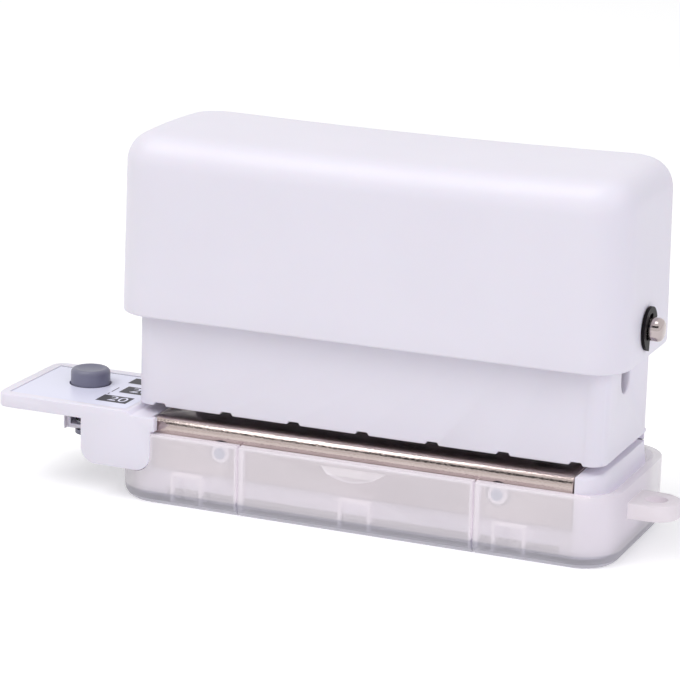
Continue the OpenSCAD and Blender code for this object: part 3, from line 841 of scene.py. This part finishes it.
    def build(self) -> None:
        """Add the edges, the U-ribs and the bumps, dress what is thicker than the wall, and paint shade on
        the bottom edge.
        """
        thick = self.thick.build()
        for body, hooks in ((Body.BASE, self.hook_x_mm), (Body.DOOR, (0.0,))):
            bm = bmesh.new()
            self.edges(bm, body)
            for x_mm in hooks:
                self.hook(bm, x_mm)
            mesh = smooth_mesh(body.value + "_tray_ribs", bm)
            new_piece(mesh, body, Slot.FROSTED_PE, self.palette, thick)
        self.thicken_and_shade()
        for name, radius_mm, y_mm, material in (
            ("tray_snap_bumps", self.bump_mm, self.bump_y_mm, thick),
            # The cores carry painted light of the gap behind each bump
            ("tray_bump_cores", self.core_mm, self.core_y_mm, self.clear.build()),
        ):
            mesh = self.bumps(name, radius_mm, y_mm)
            new_piece(mesh, Body.BASE, Slot.FROSTED_PE, self.palette, material)


@dataclass
class PressCap:
    """Hand-pressed shell: outside and inside lofted as one skin, and a row of ribs that sit on the shaft."""

    palette: Palette
    corner_mm: float = 5.0
    rear_corner_mm: float = 7.0
    edge_mm: float = 3.8
    wall_mm: float = 1.5
    roof_mm: float = 2.2
    lean_mm: float = 0.25
    height_mm: float = 23.4
    dish_mm: float = 0.5
    crown_mm: float = 0.6
    rim_mm: float = 0.35
    least_corner_mm: float = 0.05
    weld_mm: float = 0.001
    rib_mm: Triple = (1.5, 10.8, 21.0)
    rib_edge_mm: float = 0.4
    rib_low_mm: float = 25.6
    rib_pitch_mm: float = 9.5
    rib_count: int = 7
    shaft_mm: Pair = (3.1, 29.3)
    along: int = 48
    across: int = 8
    turn: int = 12
    wall_steps: int = 8
    bend_steps: int = 10
    top_steps: int = 6

    def ring(self, inset_mm: float, shrink_mm: float) -> list[Pair]:
        """Outline of the cap in plan, in equal numbers of points whatever its inset.

        Args:
            inset_mm: how far it lies inside the cap's foot.
            shrink_mm: how much smaller its corners are than at the foot.

        Returns:
            Points counter-clockwise from the front left, in metres.
        """
        (x0, y0, _), (x1, y1, _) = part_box("press_cap")
        inset = inset_mm * MM
        f, b = (
            max(r - shrink_mm, self.least_corner_mm) * MM for r in (self.corner_mm, self.rear_corner_mm)
        )
        x0, y0, x1, y1 = x0 + inset, y0 + inset, x1 - inset, y1 - inset
        corners = [
            (x1 - f, y0 + f, -90, f), (x1 - b, y1 - b, 0, b),
            (x0 + b, y1 - b, 90, b), (x0 + f, y0 + f, 180, f),
        ]
        starts = [(x0 + f, y0), (x1, y0 + f), (x1 - b, y1), (x0, y1 - b)]
        ends = [(x1 - f, y0), (x1, y1 - b), (x0 + b, y1), (x0, y0 + f)]
        points = []
        for side, (cx, cy, start, r) in enumerate(corners):
            steps = self.across if side % 2 else self.along
            (ax, ay), (bx, by) = starts[side], ends[side]
            points += [(ax + (bx - ax) * i / steps, ay + (by - ay) * i / steps) for i in range(steps + 1)]
            turns = [math.radians(start + 90 * i / self.turn) for i in range(1, self.turn)]
            points += [(cx + r * math.cos(a), cy + r * math.sin(a)) for a in turns]
        return points

    def profile(self) -> list[Triple]:
        """Path of the skin from the ceiling inside, down round the rim and up to the top outside.

        Returns:
            Inset, height above the rim and loss of corner radius of each ring, in millimetres.
        """
        arc = [math.radians(90 * i / self.bend_steps) for i in range(self.bend_steps + 1)]
        bends = [(1 - math.cos(a), 1 - math.sin(a)) for a in arc]
        straight = [i / self.wall_steps for i in range(1, self.wall_steps + 1)]
        plateau = [i / self.top_steps for i in range(1, self.top_steps)]
        wall, rim, lean, high = self.wall_mm, self.rim_mm, self.lean_mm, self.height_mm
        path = []
        for edge, top, start in ((self.edge_mm - wall, high - self.roof_mm, wall), (self.edge_mm, high, 0.0)):
            flat = self.depth_mm() / 2 - start - lean - edge
            side = [(start + lean * t, (top - edge) * t + rim * (1 - t), start) for t in straight]
            side += [(start + lean + edge * i, top - edge * k, start + edge * i) for i, k in bends[1:]]
            side += [(start + lean + edge + flat * t, top, start + edge + flat * t) for t in plateau]
            path.append(side)
        inner, outer = path
        lip = [(wall - rim * i, rim * k, wall - rim * i) for i, k in bends[::2]]
        lip += [(rim * i, rim * k, rim * i) for i, k in reversed(bends[::2])]
        return inner[::-1] + lip + outer

    def depth_mm(self) -> float:
        """Return the cap's depth from front to rear in millimetres."""
        low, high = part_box("press_cap")
        return (high[1] - low[1]) / MM

    def skin(self) -> Mesh:
        """Loft the shell, crowned from front to rear and dished along its length, and return its mesh."""
        (_, front, low), (half, rear, _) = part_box("press_cap")
        bm = bmesh.new()
        rings = []
        for inset, rise, shrink in self.profile():
            part = (rise / self.height_mm) ** 2 * MM
            ring = []
            for x, y in self.ring(inset, shrink):
                across = (2 * y - front - rear) / (rear - front)
                swell = self.crown_mm * (1 - across**2) - self.dish_mm * (1 - (x / half) ** 2)
                ring.append(bm.verts.new((x, y, low + rise * MM + part * swell)))
            rings.append(ring)
        for first, second in zip(rings, rings[1:]):
            bridge(bm, first, second)
        for ends, up in ((rings[0], False), (rings[-1], True)):
            self.close(bm, ends, up)
        return smooth_mesh("press_cap_shell", bm)

    def close(self, bm: BMesh, ends: list[BMVert], up: bool) -> None:
        """Close a ring of the skin with strips that run from front to rear.

        Args:
            bm: the cap's geometry.
            ends: the ring's points.
            up: whether the strips face up.
        """
        rear = self.along + self.turn + self.across + self.turn
        for i in range(self.along):
            strip = [ends[i], ends[i + 1], ends[rear + self.along - i - 1], ends[rear + self.along - i]]
            bm.faces.new(strip if up else strip[::-1])
        right = ends[self.along : rear + 1]
        left = ends[rear + self.along :] + [ends[0]]
        for fan in (right, left):
            bm.faces.new(fan if up else fan[::-1])

    def ribs(self) -> Mesh:
        """Grow the row of bored ribs and return its mesh."""
        names = ("Thickness", "Depth", "Height", "Bore", "Bore height", "Low", "Pitch", "First")
        group, value = new_group("rib row", names)
        plate = add_node(
            group, "GeometryNodeCurvePrimitiveQuadrilateral",
            {"Width": value["Depth"], "Height": value["Height"]},
        )
        soft = add_node(
            group, "GeometryNodeFilletCurve",
            {"Curve": plate.outputs["Curve"], "Radius": self.rib_edge_mm * MM},
        )
        half = add_node(group, "ShaderNodeMath", {0: value["Height"], 1: 0.5}, operation="MULTIPLY")
        middle = add_node(
            group, "ShaderNodeMath", {0: value["Low"], 1: half.outputs["Value"]}, operation="ADD"
        )
        lift = add_node(
            group, "ShaderNodeMath", {0: value["Bore height"], 1: middle.outputs["Value"]},
            operation="SUBTRACT",
        )
        spot = add_node(group, "ShaderNodeCombineXYZ", {"Y": lift.outputs["Value"]})
        bore = add_node(
            group, "GeometryNodeCurvePrimitiveCircle", {"Resolution": 32, "Radius": value["Bore"]}
        )
        bored = add_node(
            group, "GeometryNodeTransform",
            {"Geometry": bore.outputs["Curve"], "Translation": spot.outputs["Vector"]},
        )
        both = add_node(group, "GeometryNodeJoinGeometry")
        group.links.new(soft.outputs["Curve"], both.inputs["Geometry"])
        group.links.new(bored.outputs["Geometry"], both.inputs["Geometry"])
        face = add_node(group, "GeometryNodeFillCurve", {"Curve": both.outputs["Geometry"]})
        thick = add_node(
            group, "GeometryNodeExtrudeMesh",
            {"Mesh": face.outputs["Mesh"], "Offset Scale": value["Thickness"], "Individual": False},
        )
        back = add_node(group, "GeometryNodeFlipFaces", {"Mesh": face.outputs["Mesh"]})
        closed = add_node(group, "GeometryNodeJoinGeometry")
        group.links.new(thick.outputs["Mesh"], closed.inputs["Geometry"])
        group.links.new(back.outputs["Mesh"], closed.inputs["Geometry"])
        tight = add_node(
            group, "GeometryNodeMergeByDistance",
            {"Geometry": closed.outputs["Geometry"], "Distance": self.weld_mm * MM},
        )
        stand = add_node(
            group, "GeometryNodeTransform",
            {"Geometry": tight.outputs["Geometry"], "Rotation": (math.pi / 2, 0.0, math.pi / 2)},
        )
        first = add_node(group, "ShaderNodeCombineXYZ", {"X": value["First"], "Z": middle.outputs["Value"]})
        step = add_node(group, "ShaderNodeCombineXYZ", {"X": value["Pitch"]})
        row = add_node(
            group, "GeometryNodeMeshLine",
            {
                "Count": self.rib_count, "Start Location": first.outputs["Vector"],
                "Offset": step.outputs["Vector"],
            },
        )
        many = add_node(
            group, "GeometryNodeInstanceOnPoints",
            {"Points": row.outputs["Mesh"], "Instance": stand.outputs["Geometry"]},
        )
        end_group(group, many.outputs["Instances"], self.palette.of(Slot.WHITE_ABS))
        thickness, depth, height = (v * MM for v in self.rib_mm)
        first_x = -self.rib_pitch_mm * MM * (self.rib_count - 1) / 2 - thickness / 2
        sizes = (
            thickness, depth, height, self.shaft_mm[0] / 2 * MM, self.shaft_mm[1] * MM, self.rib_low_mm * MM,
            self.rib_pitch_mm * MM, first_x,
        )
        return grow(group, "press_cap_ribs", dict(zip(names, sizes)))

    def build(self) -> None:
        """Replace the cap by the lofted shell and its ribs."""
        shell = new_piece(self.skin(), Body.PRESS, Slot.WHITE_ABS, self.palette)
        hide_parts("press_cap")
        new_piece(self.ribs(), Body.PRESS, Slot.WHITE_ABS, self.palette)


@dataclass
class CrossShaft:
    """Turned shaft with a groove and a domed nose at each end, and a stamped E-clip in each groove."""

    palette: Palette
    height_mm: float = 29.3
    radius_mm: float = 1.5
    neck_mm: float = 1.2
    neck_gap_mm: float = 0.05
    chamfer_mm: float = 0.06
    # Radius, and distance from the shaft's end, of the points of its nose
    nose_mm: tuple[Pair, ...] = (
        (0.0, 0.0), (0.7, 0.02), (1.05, 0.09), (1.28, 0.22), (1.43, 0.42), (1.5, 0.65),
    )
    clip_mm: float = 0.4
    clip_outer_mm: float = 2.8
    clip_web_mm: float = 1.95
    clip_inner_mm: float = 1.25
    clip_mouth_deg: float = 60.0
    clip_turn_deg: float = -38.0
    clip_steps: int = 64
    lobe_in_deg: float = 14.0
    lobe_half_deg: float = 30.0
    lobe_soft_deg: float = 12.0

    def shaft(self) -> Mesh:
        """Turn the shaft and return its mesh."""
        r, neck, cut = self.radius_mm, self.neck_mm, self.chamfer_mm
        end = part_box("press_shaft")[1][0] / MM
        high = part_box("shaft_clips")[1][0] / MM + self.neck_gap_mm
        low = high - self.clip_mm - 2 * self.neck_gap_mm
        half = [(radius, end - back) for radius, back in self.nose_mm]
        half += [(r, high + cut), (r - cut, high), (neck, high), (neck, low), (r - cut, low), (r, low - cut)]
        profile = half + [(radius, -x) for radius, x in reversed(half)]
        place = Matrix.Translation((0.0, 0.0, self.height_mm * MM)) @ Matrix.Rotation(math.pi / 2, 4, "Y")
        return lathe("press_shaft_turned", profile, place)

    def clip_outline(self) -> list[Pair]:
        """Outline of an E-clip with its mouth along +X: a back, and three lobes that grip the groove.

        Returns:
            Points counter-clockwise, in millimetres.
        """
        mouth, steps = self.clip_mouth_deg, self.clip_steps
        turns = [mouth + (360 - 2 * mouth) * i / steps for i in range(steps + 1)]
        lobes = (turns[0] + self.lobe_in_deg, 180, turns[-1] - self.lobe_in_deg)
        outer = [(self.clip_outer_mm, a) for a in turns]
        inner = []
        for a in reversed(turns):
            near = min(abs(a - lobe) for lobe in lobes)
            grip = min(1.0, max(0.0, (self.lobe_half_deg - near) / self.lobe_soft_deg))
            soft = grip * grip * (3 - 2 * grip)
            inner.append((self.clip_web_mm + (self.clip_inner_mm - self.clip_web_mm) * soft, a))
        return [(r * math.cos(math.radians(a)), r * math.sin(math.radians(a))) for r, a in outer + inner]

    def clips(self) -> Mesh:
        """Stamp both clips and return their mesh."""
        thick = self.clip_mm
        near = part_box("shaft_clips")[1][0] / MM - thick
        bm = bmesh.new()
        for side in (-1, 1):
            turn = Matrix.Rotation(math.radians(self.clip_turn_deg), 4, "X")
            stand = Matrix.Rotation(math.pi / 2, 4, "Z") @ Matrix.Rotation(math.pi / 2, 4, "X")
            start = near if side > 0 else -near - thick
            place = Matrix.Translation((start * MM, 0.0, self.height_mm * MM))
            points = [place @ turn @ stand @ Vector((x * MM, y * MM, 0.0)) for x, y in self.clip_outline()]
            first = [bm.verts.new(p) for p in points]
            second = [bm.verts.new(p + Vector((thick * MM, 0.0, 0.0))) for p in points]
            bridge(bm, first, second)
            count = len(points)
            for i in range(count // 2 - 1):
                bm.faces.new((second[i], second[i + 1], second[count - 2 - i], second[count - 1 - i]))
                bm.faces.new((first[count - 1 - i], first[count - 2 - i], first[i + 1], first[i]))
        bmesh.ops.recalc_face_normals(bm, faces=bm.faces)
        return smooth_mesh("shaft_clips_stamped", bm)

    def build(self) -> None:
        """Replace the shaft and its clips."""
        shaft = new_piece(self.shaft(), Body.PRESS, Slot.NICKEL_STEEL, self.palette)
        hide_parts("press_shaft")
        clips = new_piece(self.clips(), Body.PRESS, Slot.BLACK_STEEL, self.palette)
        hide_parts("shaft_clips")


@dataclass
class Springs:
    """Compression springs: drawn wire wound round the punches and under the locating pin."""

    palette: Palette
    pitch_mm: float = 9.5
    count: int = 6
    coil_mm: Quad = (3.25, 0.4, 16.05, 25.75)
    turns: float = 5.0
    keep: float = 0.33
    pin_mm: Quad = (1.925, 0.3, 6.65, 10.35)
    pin_turns: float = 3.5
    pin_x_mm: float = -42.75
    pin_keep: float = 0.43

    def group(self) -> NodeTree:
        """Make the node group that winds a spring, and return it."""
        names = ("Turns", "Radius", "Wire", "Rise", "Place", "Foot")
        group, value = new_group("spring coil", names)
        path = add_node(
            group, "GeometryNodeCurveSpiral",
            {
                "Resolution": 32, "Rotations": value["Turns"], "Start Radius": value["Radius"],
                "End Radius": value["Radius"], "Height": value["Rise"],
            },
        )
        wire = add_node(
            group, "GeometryNodeCurvePrimitiveCircle", {"Resolution": 12, "Radius": value["Wire"]}
        )
        tube = add_node(
            group, "GeometryNodeCurveToMesh",
            {"Curve": path.outputs["Curve"], "Profile Curve": wire.outputs["Curve"], "Fill Caps": True},
        )
        spot = add_node(group, "ShaderNodeCombineXYZ", {"X": value["Place"], "Z": value["Foot"]})
        placed = add_node(
            group, "GeometryNodeTransform",
            {"Geometry": tube.outputs["Mesh"], "Translation": spot.outputs["Vector"]},
        )
        end_group(group, placed.outputs["Geometry"], self.palette.of(Slot.SPRING_STEEL))
        return group

    def wind(self, group: NodeTree, node: str, x_mm: float, size_mm: Quad, turns: float) -> Object:
        """Wind one spring in the place of its node.

        Args:
            group: the coil's node group.
            node: the CAD node that it stands for.
            x_mm: where its axis is.
            size_mm: mean radius, wire diameter, foot and top.
            turns: how many turns it has.

        Returns:
            The piece.
        """
        radius, wire, foot, top = size_mm
        values = {
            "Turns": turns, "Radius": radius * MM, "Wire": wire / 2 * MM, "Rise": (top - foot - wire) * MM,
            "Place": x_mm * MM, "Foot": (foot + wire / 2) * MM,
        }
        mesh = grow(group, node + "_coil", values)
        piece = new_piece(mesh, Body.BASE, Slot.SPRING_STEEL, self.palette)
        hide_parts(node)
        return piece

    def build(self) -> None:
        """Replace every spring by a wound one with a mesh of its own."""
        group = self.group()
        for i in range(self.count):
            x = (i - (self.count - 1) / 2) * self.pitch_mm
            piece = self.wind(group, f"spring_{i + 1}", x, self.coil_mm, self.turns)
            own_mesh(piece)
        piece = self.wind(group, "pin_spring", self.pin_x_mm, self.pin_mm, self.pin_turns)
        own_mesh(piece)


@dataclass
class LocatingPin:
    """Grey button on the gauge, turned with a soft top edge, and its stem."""

    palette: Palette
    radius_mm: float = 2.65
    shoulder_mm: float = 10.4
    stem_mm: float = 1.2
    neck_mm: float = 0.9
    neck_gap_mm: float = 0.05
    edge_mm: float = 0.6
    dish_mm: float = 0.2
    chamfer_mm: float = 0.1
    bend_steps: int = 8
    sides: int = 64

    def build(self) -> None:
        """Replace the pin by a turned one, dished on top, with a groove for its clip."""
        (left, _, tail), (right, _, top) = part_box("locating_pin")
        tail, top = tail / MM, top / MM
        (_, _, low), (_, _, high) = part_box("pin_clip")
        low, high = low / MM - self.neck_gap_mm, high / MM + self.neck_gap_mm
        r, e, dish, stem, neck, cut = (
            self.radius_mm, self.edge_mm, self.dish_mm, self.stem_mm, self.neck_mm, self.chamfer_mm,
        )
        bend = [math.radians(90 * i / self.bend_steps) for i in range(self.bend_steps + 1)]
        profile = [(0.0, top - dish), (r - 2 * e, top - dish), (r - 1.4 * e, top - dish / 4)]
        profile += [(r - e + e * math.sin(a), top - e + e * math.cos(a)) for a in bend]
        profile += [
            (r, self.shoulder_mm + cut), (r - cut, self.shoulder_mm), (stem, self.shoulder_mm), (stem, high),
            (neck, high), (neck, low), (stem, low), (stem, tail + cut), (stem - cut, tail), (0.0, tail),
        ]
        place = Matrix.Translation(((left + right) / 2, 0.0, 0.0))
        mesh = lathe("locating_pin_turned", profile, place, self.sides)
        piece = new_piece(mesh, Body.PIN, Slot.GREY_PLASTIC, self.palette)
        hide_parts("locating_pin")


@dataclass
class GaugePrint:
    """Ink on the gauge's label: three numbered flags and thin rules, one of them a painted shadow line."""

    palette: Palette
    height_mm: float = 12.2
    ink_mm: float = 0.012
    margin_mm: float = 0.9
    fill: float = 0.95
    flags: tuple[tuple[str, Quad], ...] = (
        ("20", (-38.4, -7.2, -34.0, -4.3)),
        ("26", (-37.3, -2.5, -33.1, 0.6)),
        ("30", (-38.2, 2.1, -33.6, 4.7)),
    )
    # The rule along the label's rear edge is painted shadow: the dark line at the edge of the label's recess
    rules_and_shadow_line: tuple[Quad, ...] = (
        (-38.28, -2.7, -38.12, -0.5), (-50.0, 5.5, -33.2, 5.62), (-38.28, -3.9, -38.12, -3.3),
    )
    # Screen ink: nearly black, matt and a little uneven
    ink: MouldedPlastic = MouldedPlastic("Black screen ink", "23212C", "2E2C37", 0.5, grain_mm=0.15)

    def block(self, bm: BMesh, box: Quad, layer: int = 1) -> None:
        """Print one filled rectangle.

        Args:
            bm: the ink's geometry.
            box: its limits in plan, in millimetres.
            layer: how many coats of ink lie under its top.
        """
        x0, y0, x1, y1 = box
        z = self.height_mm + self.ink_mm * layer
        corners = ((x0, y0), (x1, y0), (x1, y1), (x0, y1))
        bm.faces.new([bm.verts.new((x * MM, y * MM, z * MM)) for x, y in corners])

    def number(self, text: str, box: Quad, layer: int) -> Mesh:
        """Set a plain number in the middle of a flag.

        Args:
            text: the number.
            box: the flag's limits in plan, in millimetres.
            layer: coat of ink that it is printed in.

        Returns:
            The number's mesh.
        """
        x0, y0, x1, y1 = box
        curve = bpy.data.curves.new("number_" + text, "FONT")
        curve.body = text
        curve.align_x = "CENTER"
        curve.align_y = "CENTER"
        curve.size = (y1 - y0) * self.fill * MM
        host = new_object("number_" + text, curve)
        mesh = bpy.data.meshes.new_from_object(host)
        bpy.data.objects.remove(host)
        z = self.height_mm + self.ink_mm * layer
        mesh.transform(Matrix.Translation(((x0 + x1) / 2 * MM, (y0 + y1) / 2 * MM, z * MM)))
        return mesh

    def build(self) -> None:
        """Print the dark flags and rules, one rule being a painted shadow line, and the pale numbers on the
        flags.
        """
        dark, pale = bmesh.new(), bmesh.new()
        for text, box in self.flags:
            self.block(dark, box)
            x0, y0, x1, y1 = box
            pale.from_mesh(self.number(text, (x0 + self.margin_mm, y0, x1, y1), 2))
        for ink_strip in self.rules_and_shadow_line:
            self.block(dark, ink_strip)
        for mesh, material in (
            (smooth_mesh("gauge_print_dark", dark), self.ink.build()),
            (smooth_mesh("gauge_print_pale", pale), None),
        ):
            new_piece(mesh, Body.BASE, Slot.PRINTED_LABEL, self.palette, material)


@dataclass(frozen=True)
class Lamp:
    """Soft box that looks at the punch, and that polished steel may mirror or not."""

    name: str
    place_m: Triple
    size_m: Pair
    watts: float
    colour: Triple = (1.0, 1.0, 1.0)
    mirrored: bool = False
    aim_m: Triple = (0.0, 0.0, 0.02)

    def hang(self) -> None:
        """Hang the lamp."""
        data = bpy.data.lights.new(self.name, "AREA")
        data.shape = "RECTANGLE"
        data.size, data.size_y = self.size_m
        data.energy = self.watts
        data.color = self.colour
        lamp = new_object(self.name, data)
        turn = (Vector(self.aim_m) - Vector(self.place_m)).to_track_quat("-Z", "Y").to_matrix().to_4x4()
        lamp.matrix_world = Matrix.Translation(self.place_m) @ turn
        lamp.visible_glossy = self.mirrored


@dataclass
class Studio:
    """Camera where the photographer stood, soft lights, and a white sweep under the punch."""

    place_mm: Triple = (133.0, -344.1, 120.5)
    yaw_deg: float = 22.09
    pitch_deg: float = 14.76
    roll_deg: float = 1.58
    lens_mm: float = 157.0
    lamps: tuple[Lamp, ...] = (
        Lamp("key", (-0.5, -0.7, 0.9), (0.7, 0.7), 2.1),
        Lamp("fill", (0.9, -0.5, 0.5), (0.7, 0.7), 3.7, colour=(0.91, 0.9, 1.0)),
        Lamp("top", (-0.4, -0.3, 1.1), (0.6, 1.1), 5.8, mirrored=True),
    )
    white: Quad = (1.0, 1.0, 1.0, 1.0)
    room_light: float = 0.4
    room_seen: float = 1.0
    floor_m: float = 6.0
    floor_drop_mm: float = 0.02
    floor_paint: Quad = (0.9, 0.9, 0.9, 1.0)
    floor_glow: float = 0.35
    card_m: float = 1.5
    card_rise_m: Pair = (0.8, 1.55)
    card_turn_deg: Pair = (-180.0, -45.0)
    card_steps: int = 24
    card_colour: str = "282828"

    def camera(self) -> None:
        """Place the camera."""
        yaw, pitch, roll = (math.radians(a) for a in (self.yaw_deg, self.pitch_deg, self.roll_deg))
        ahead = Vector((-math.sin(yaw) * math.cos(pitch), math.cos(yaw) * math.cos(pitch), -math.sin(pitch)))
        right = Vector((math.cos(yaw), math.sin(yaw), 0.0))
        down = ahead.cross(right)
        side = math.cos(roll) * right - math.sin(roll) * down
        drop = math.sin(roll) * right + math.cos(roll) * down
        data = bpy.data.cameras.new("camera")
        data.lens = self.lens_mm
        data.sensor_width = 36.0
        data.clip_start = 0.01
        camera = new_object("camera", data)
        turn = Matrix((side, -drop, -ahead)).transposed().to_4x4()
        camera.matrix_world = Matrix.Translation(Vector(self.place_mm) * MM) @ turn
        bpy.context.scene.camera = camera

    def lights(self) -> None:
        """Hang the lamps and set the white surroundings."""
        for lamp in self.lamps:
            lamp.hang()
        world = bpy.data.worlds.new("white room")
        world.use_nodes = True
        bpy.context.scene.world = world
        tree = world.node_tree
        tree.nodes.clear()
        dim, bright = (
            add_node(tree, "ShaderNodeBackground", {"Color": self.white, "Strength": strength})
            for strength in (self.room_light, self.room_seen)
        )
        mix = add_node(
            tree, "ShaderNodeMixShader",
            {0: self.seen(tree), 1: dim.outputs["Background"], 2: bright.outputs["Background"]},
        )
        add_node(tree, "ShaderNodeOutputWorld", {"Surface": mix.outputs["Shader"]})

    def seen(self, tree: NodeTree) -> NodeSocket:
        """Add what tells rays that show the background from rays that light the punch.

        Args:
            tree: the tree to add it to.

        Returns:
            A socket that is 1 for camera, glossy and transmission rays.
        """
        path = add_node(tree, "ShaderNodeLightPath")
        first = add_node(
            tree, "ShaderNodeMath",
            {0: path.outputs["Is Camera Ray"], 1: path.outputs["Is Glossy Ray"]}, operation="MAXIMUM",
        )
        both = add_node(
            tree, "ShaderNodeMath",
            {0: first.outputs["Value"], 1: path.outputs["Is Transmission Ray"]}, operation="MAXIMUM",
        )
        return both.outputs["Value"]

    def floor(self) -> None:
        """Lay the white floor."""
        bm = bmesh.new()
        bmesh.ops.create_grid(bm, x_segments=1, y_segments=1, size=self.floor_m / 2)
        bmesh.ops.translate(bm, vec=(0.0, 0.0, -self.floor_drop_mm * MM), verts=bm.verts)
        mesh = bpy.data.meshes.new("floor")
        bm.to_mesh(mesh)
        bm.free()
        material, tree = new_material("White paper sweep")
        diffuse = add_node(tree, "ShaderNodeBsdfDiffuse", {"Color": self.floor_paint})
        glow = add_node(tree, "ShaderNodeEmission", {"Color": self.white, "Strength": self.floor_glow})
        both = add_node(
            tree, "ShaderNodeAddShader", {0: diffuse.outputs["BSDF"], 1: glow.outputs["Emission"]}
        )
        mix = add_node(
            tree, "ShaderNodeMixShader",
            {0: self.seen(tree), 1: diffuse.outputs["BSDF"], 2: both.outputs["Shader"]},
        )
        add_node(tree, "ShaderNodeOutputMaterial", {"Surface": mix.outputs["Shader"]})
        mesh.materials.append(material)
        floor = new_object("floor", mesh)

    def card(self) -> None:
        """Stand a black card in front, which only shows as the dark line in polished steel."""
        low, high = self.card_rise_m
        start, end = (math.radians(a) for a in self.card_turn_deg)
        turns = [start + (end - start) * i / self.card_steps for i in range(self.card_steps + 1)]
        bm = bmesh.new()
        posts = []
        for turn in turns:
            x, y = self.card_m * math.cos(turn), self.card_m * math.sin(turn)
            posts.append((bm.verts.new((x, y, low)), bm.verts.new((x, y, high))))
        for (near, tall), (far, next_tall) in zip(posts, posts[1:]):
            bm.faces.new((far, near, tall, next_tall))
        material, tree = new_material("Black card")
        black = add_node(tree, "ShaderNodeBsdfDiffuse", {"Color": linear(self.card_colour)})
        add_node(tree, "ShaderNodeOutputMaterial", {"Surface": black.outputs["BSDF"]})
        mesh = smooth_mesh("black_card", bm)
        mesh.materials.append(material)
        card = new_object("black_card", mesh)
        card.visible_camera = card.visible_diffuse = card.visible_shadow = card.visible_transmission = False

    def build(self) -> None:
        """Set up the camera, lights, floor and card."""
        bpy.context.scene.view_settings.view_transform = "Standard"
        self.camera()
        self.lights()
        self.floor()
        self.card()


def main() -> None:
    """Dress the punch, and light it."""
    logging.basicConfig(level=logging.INFO, format="%(message)s")
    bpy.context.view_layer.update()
    palette = Palette()
    palette.dress_nodes()
    Shells(palette).build()
    EndLips(palette).build()
    TrayDetails(palette).build()
    PressCap(palette).build()
    CrossShaft(palette).build()
    Springs(palette).build()
    LocatingPin(palette).build()
    GaugePrint(palette).build()
    Studio().build()


if __name__ == "__main__":
    main()
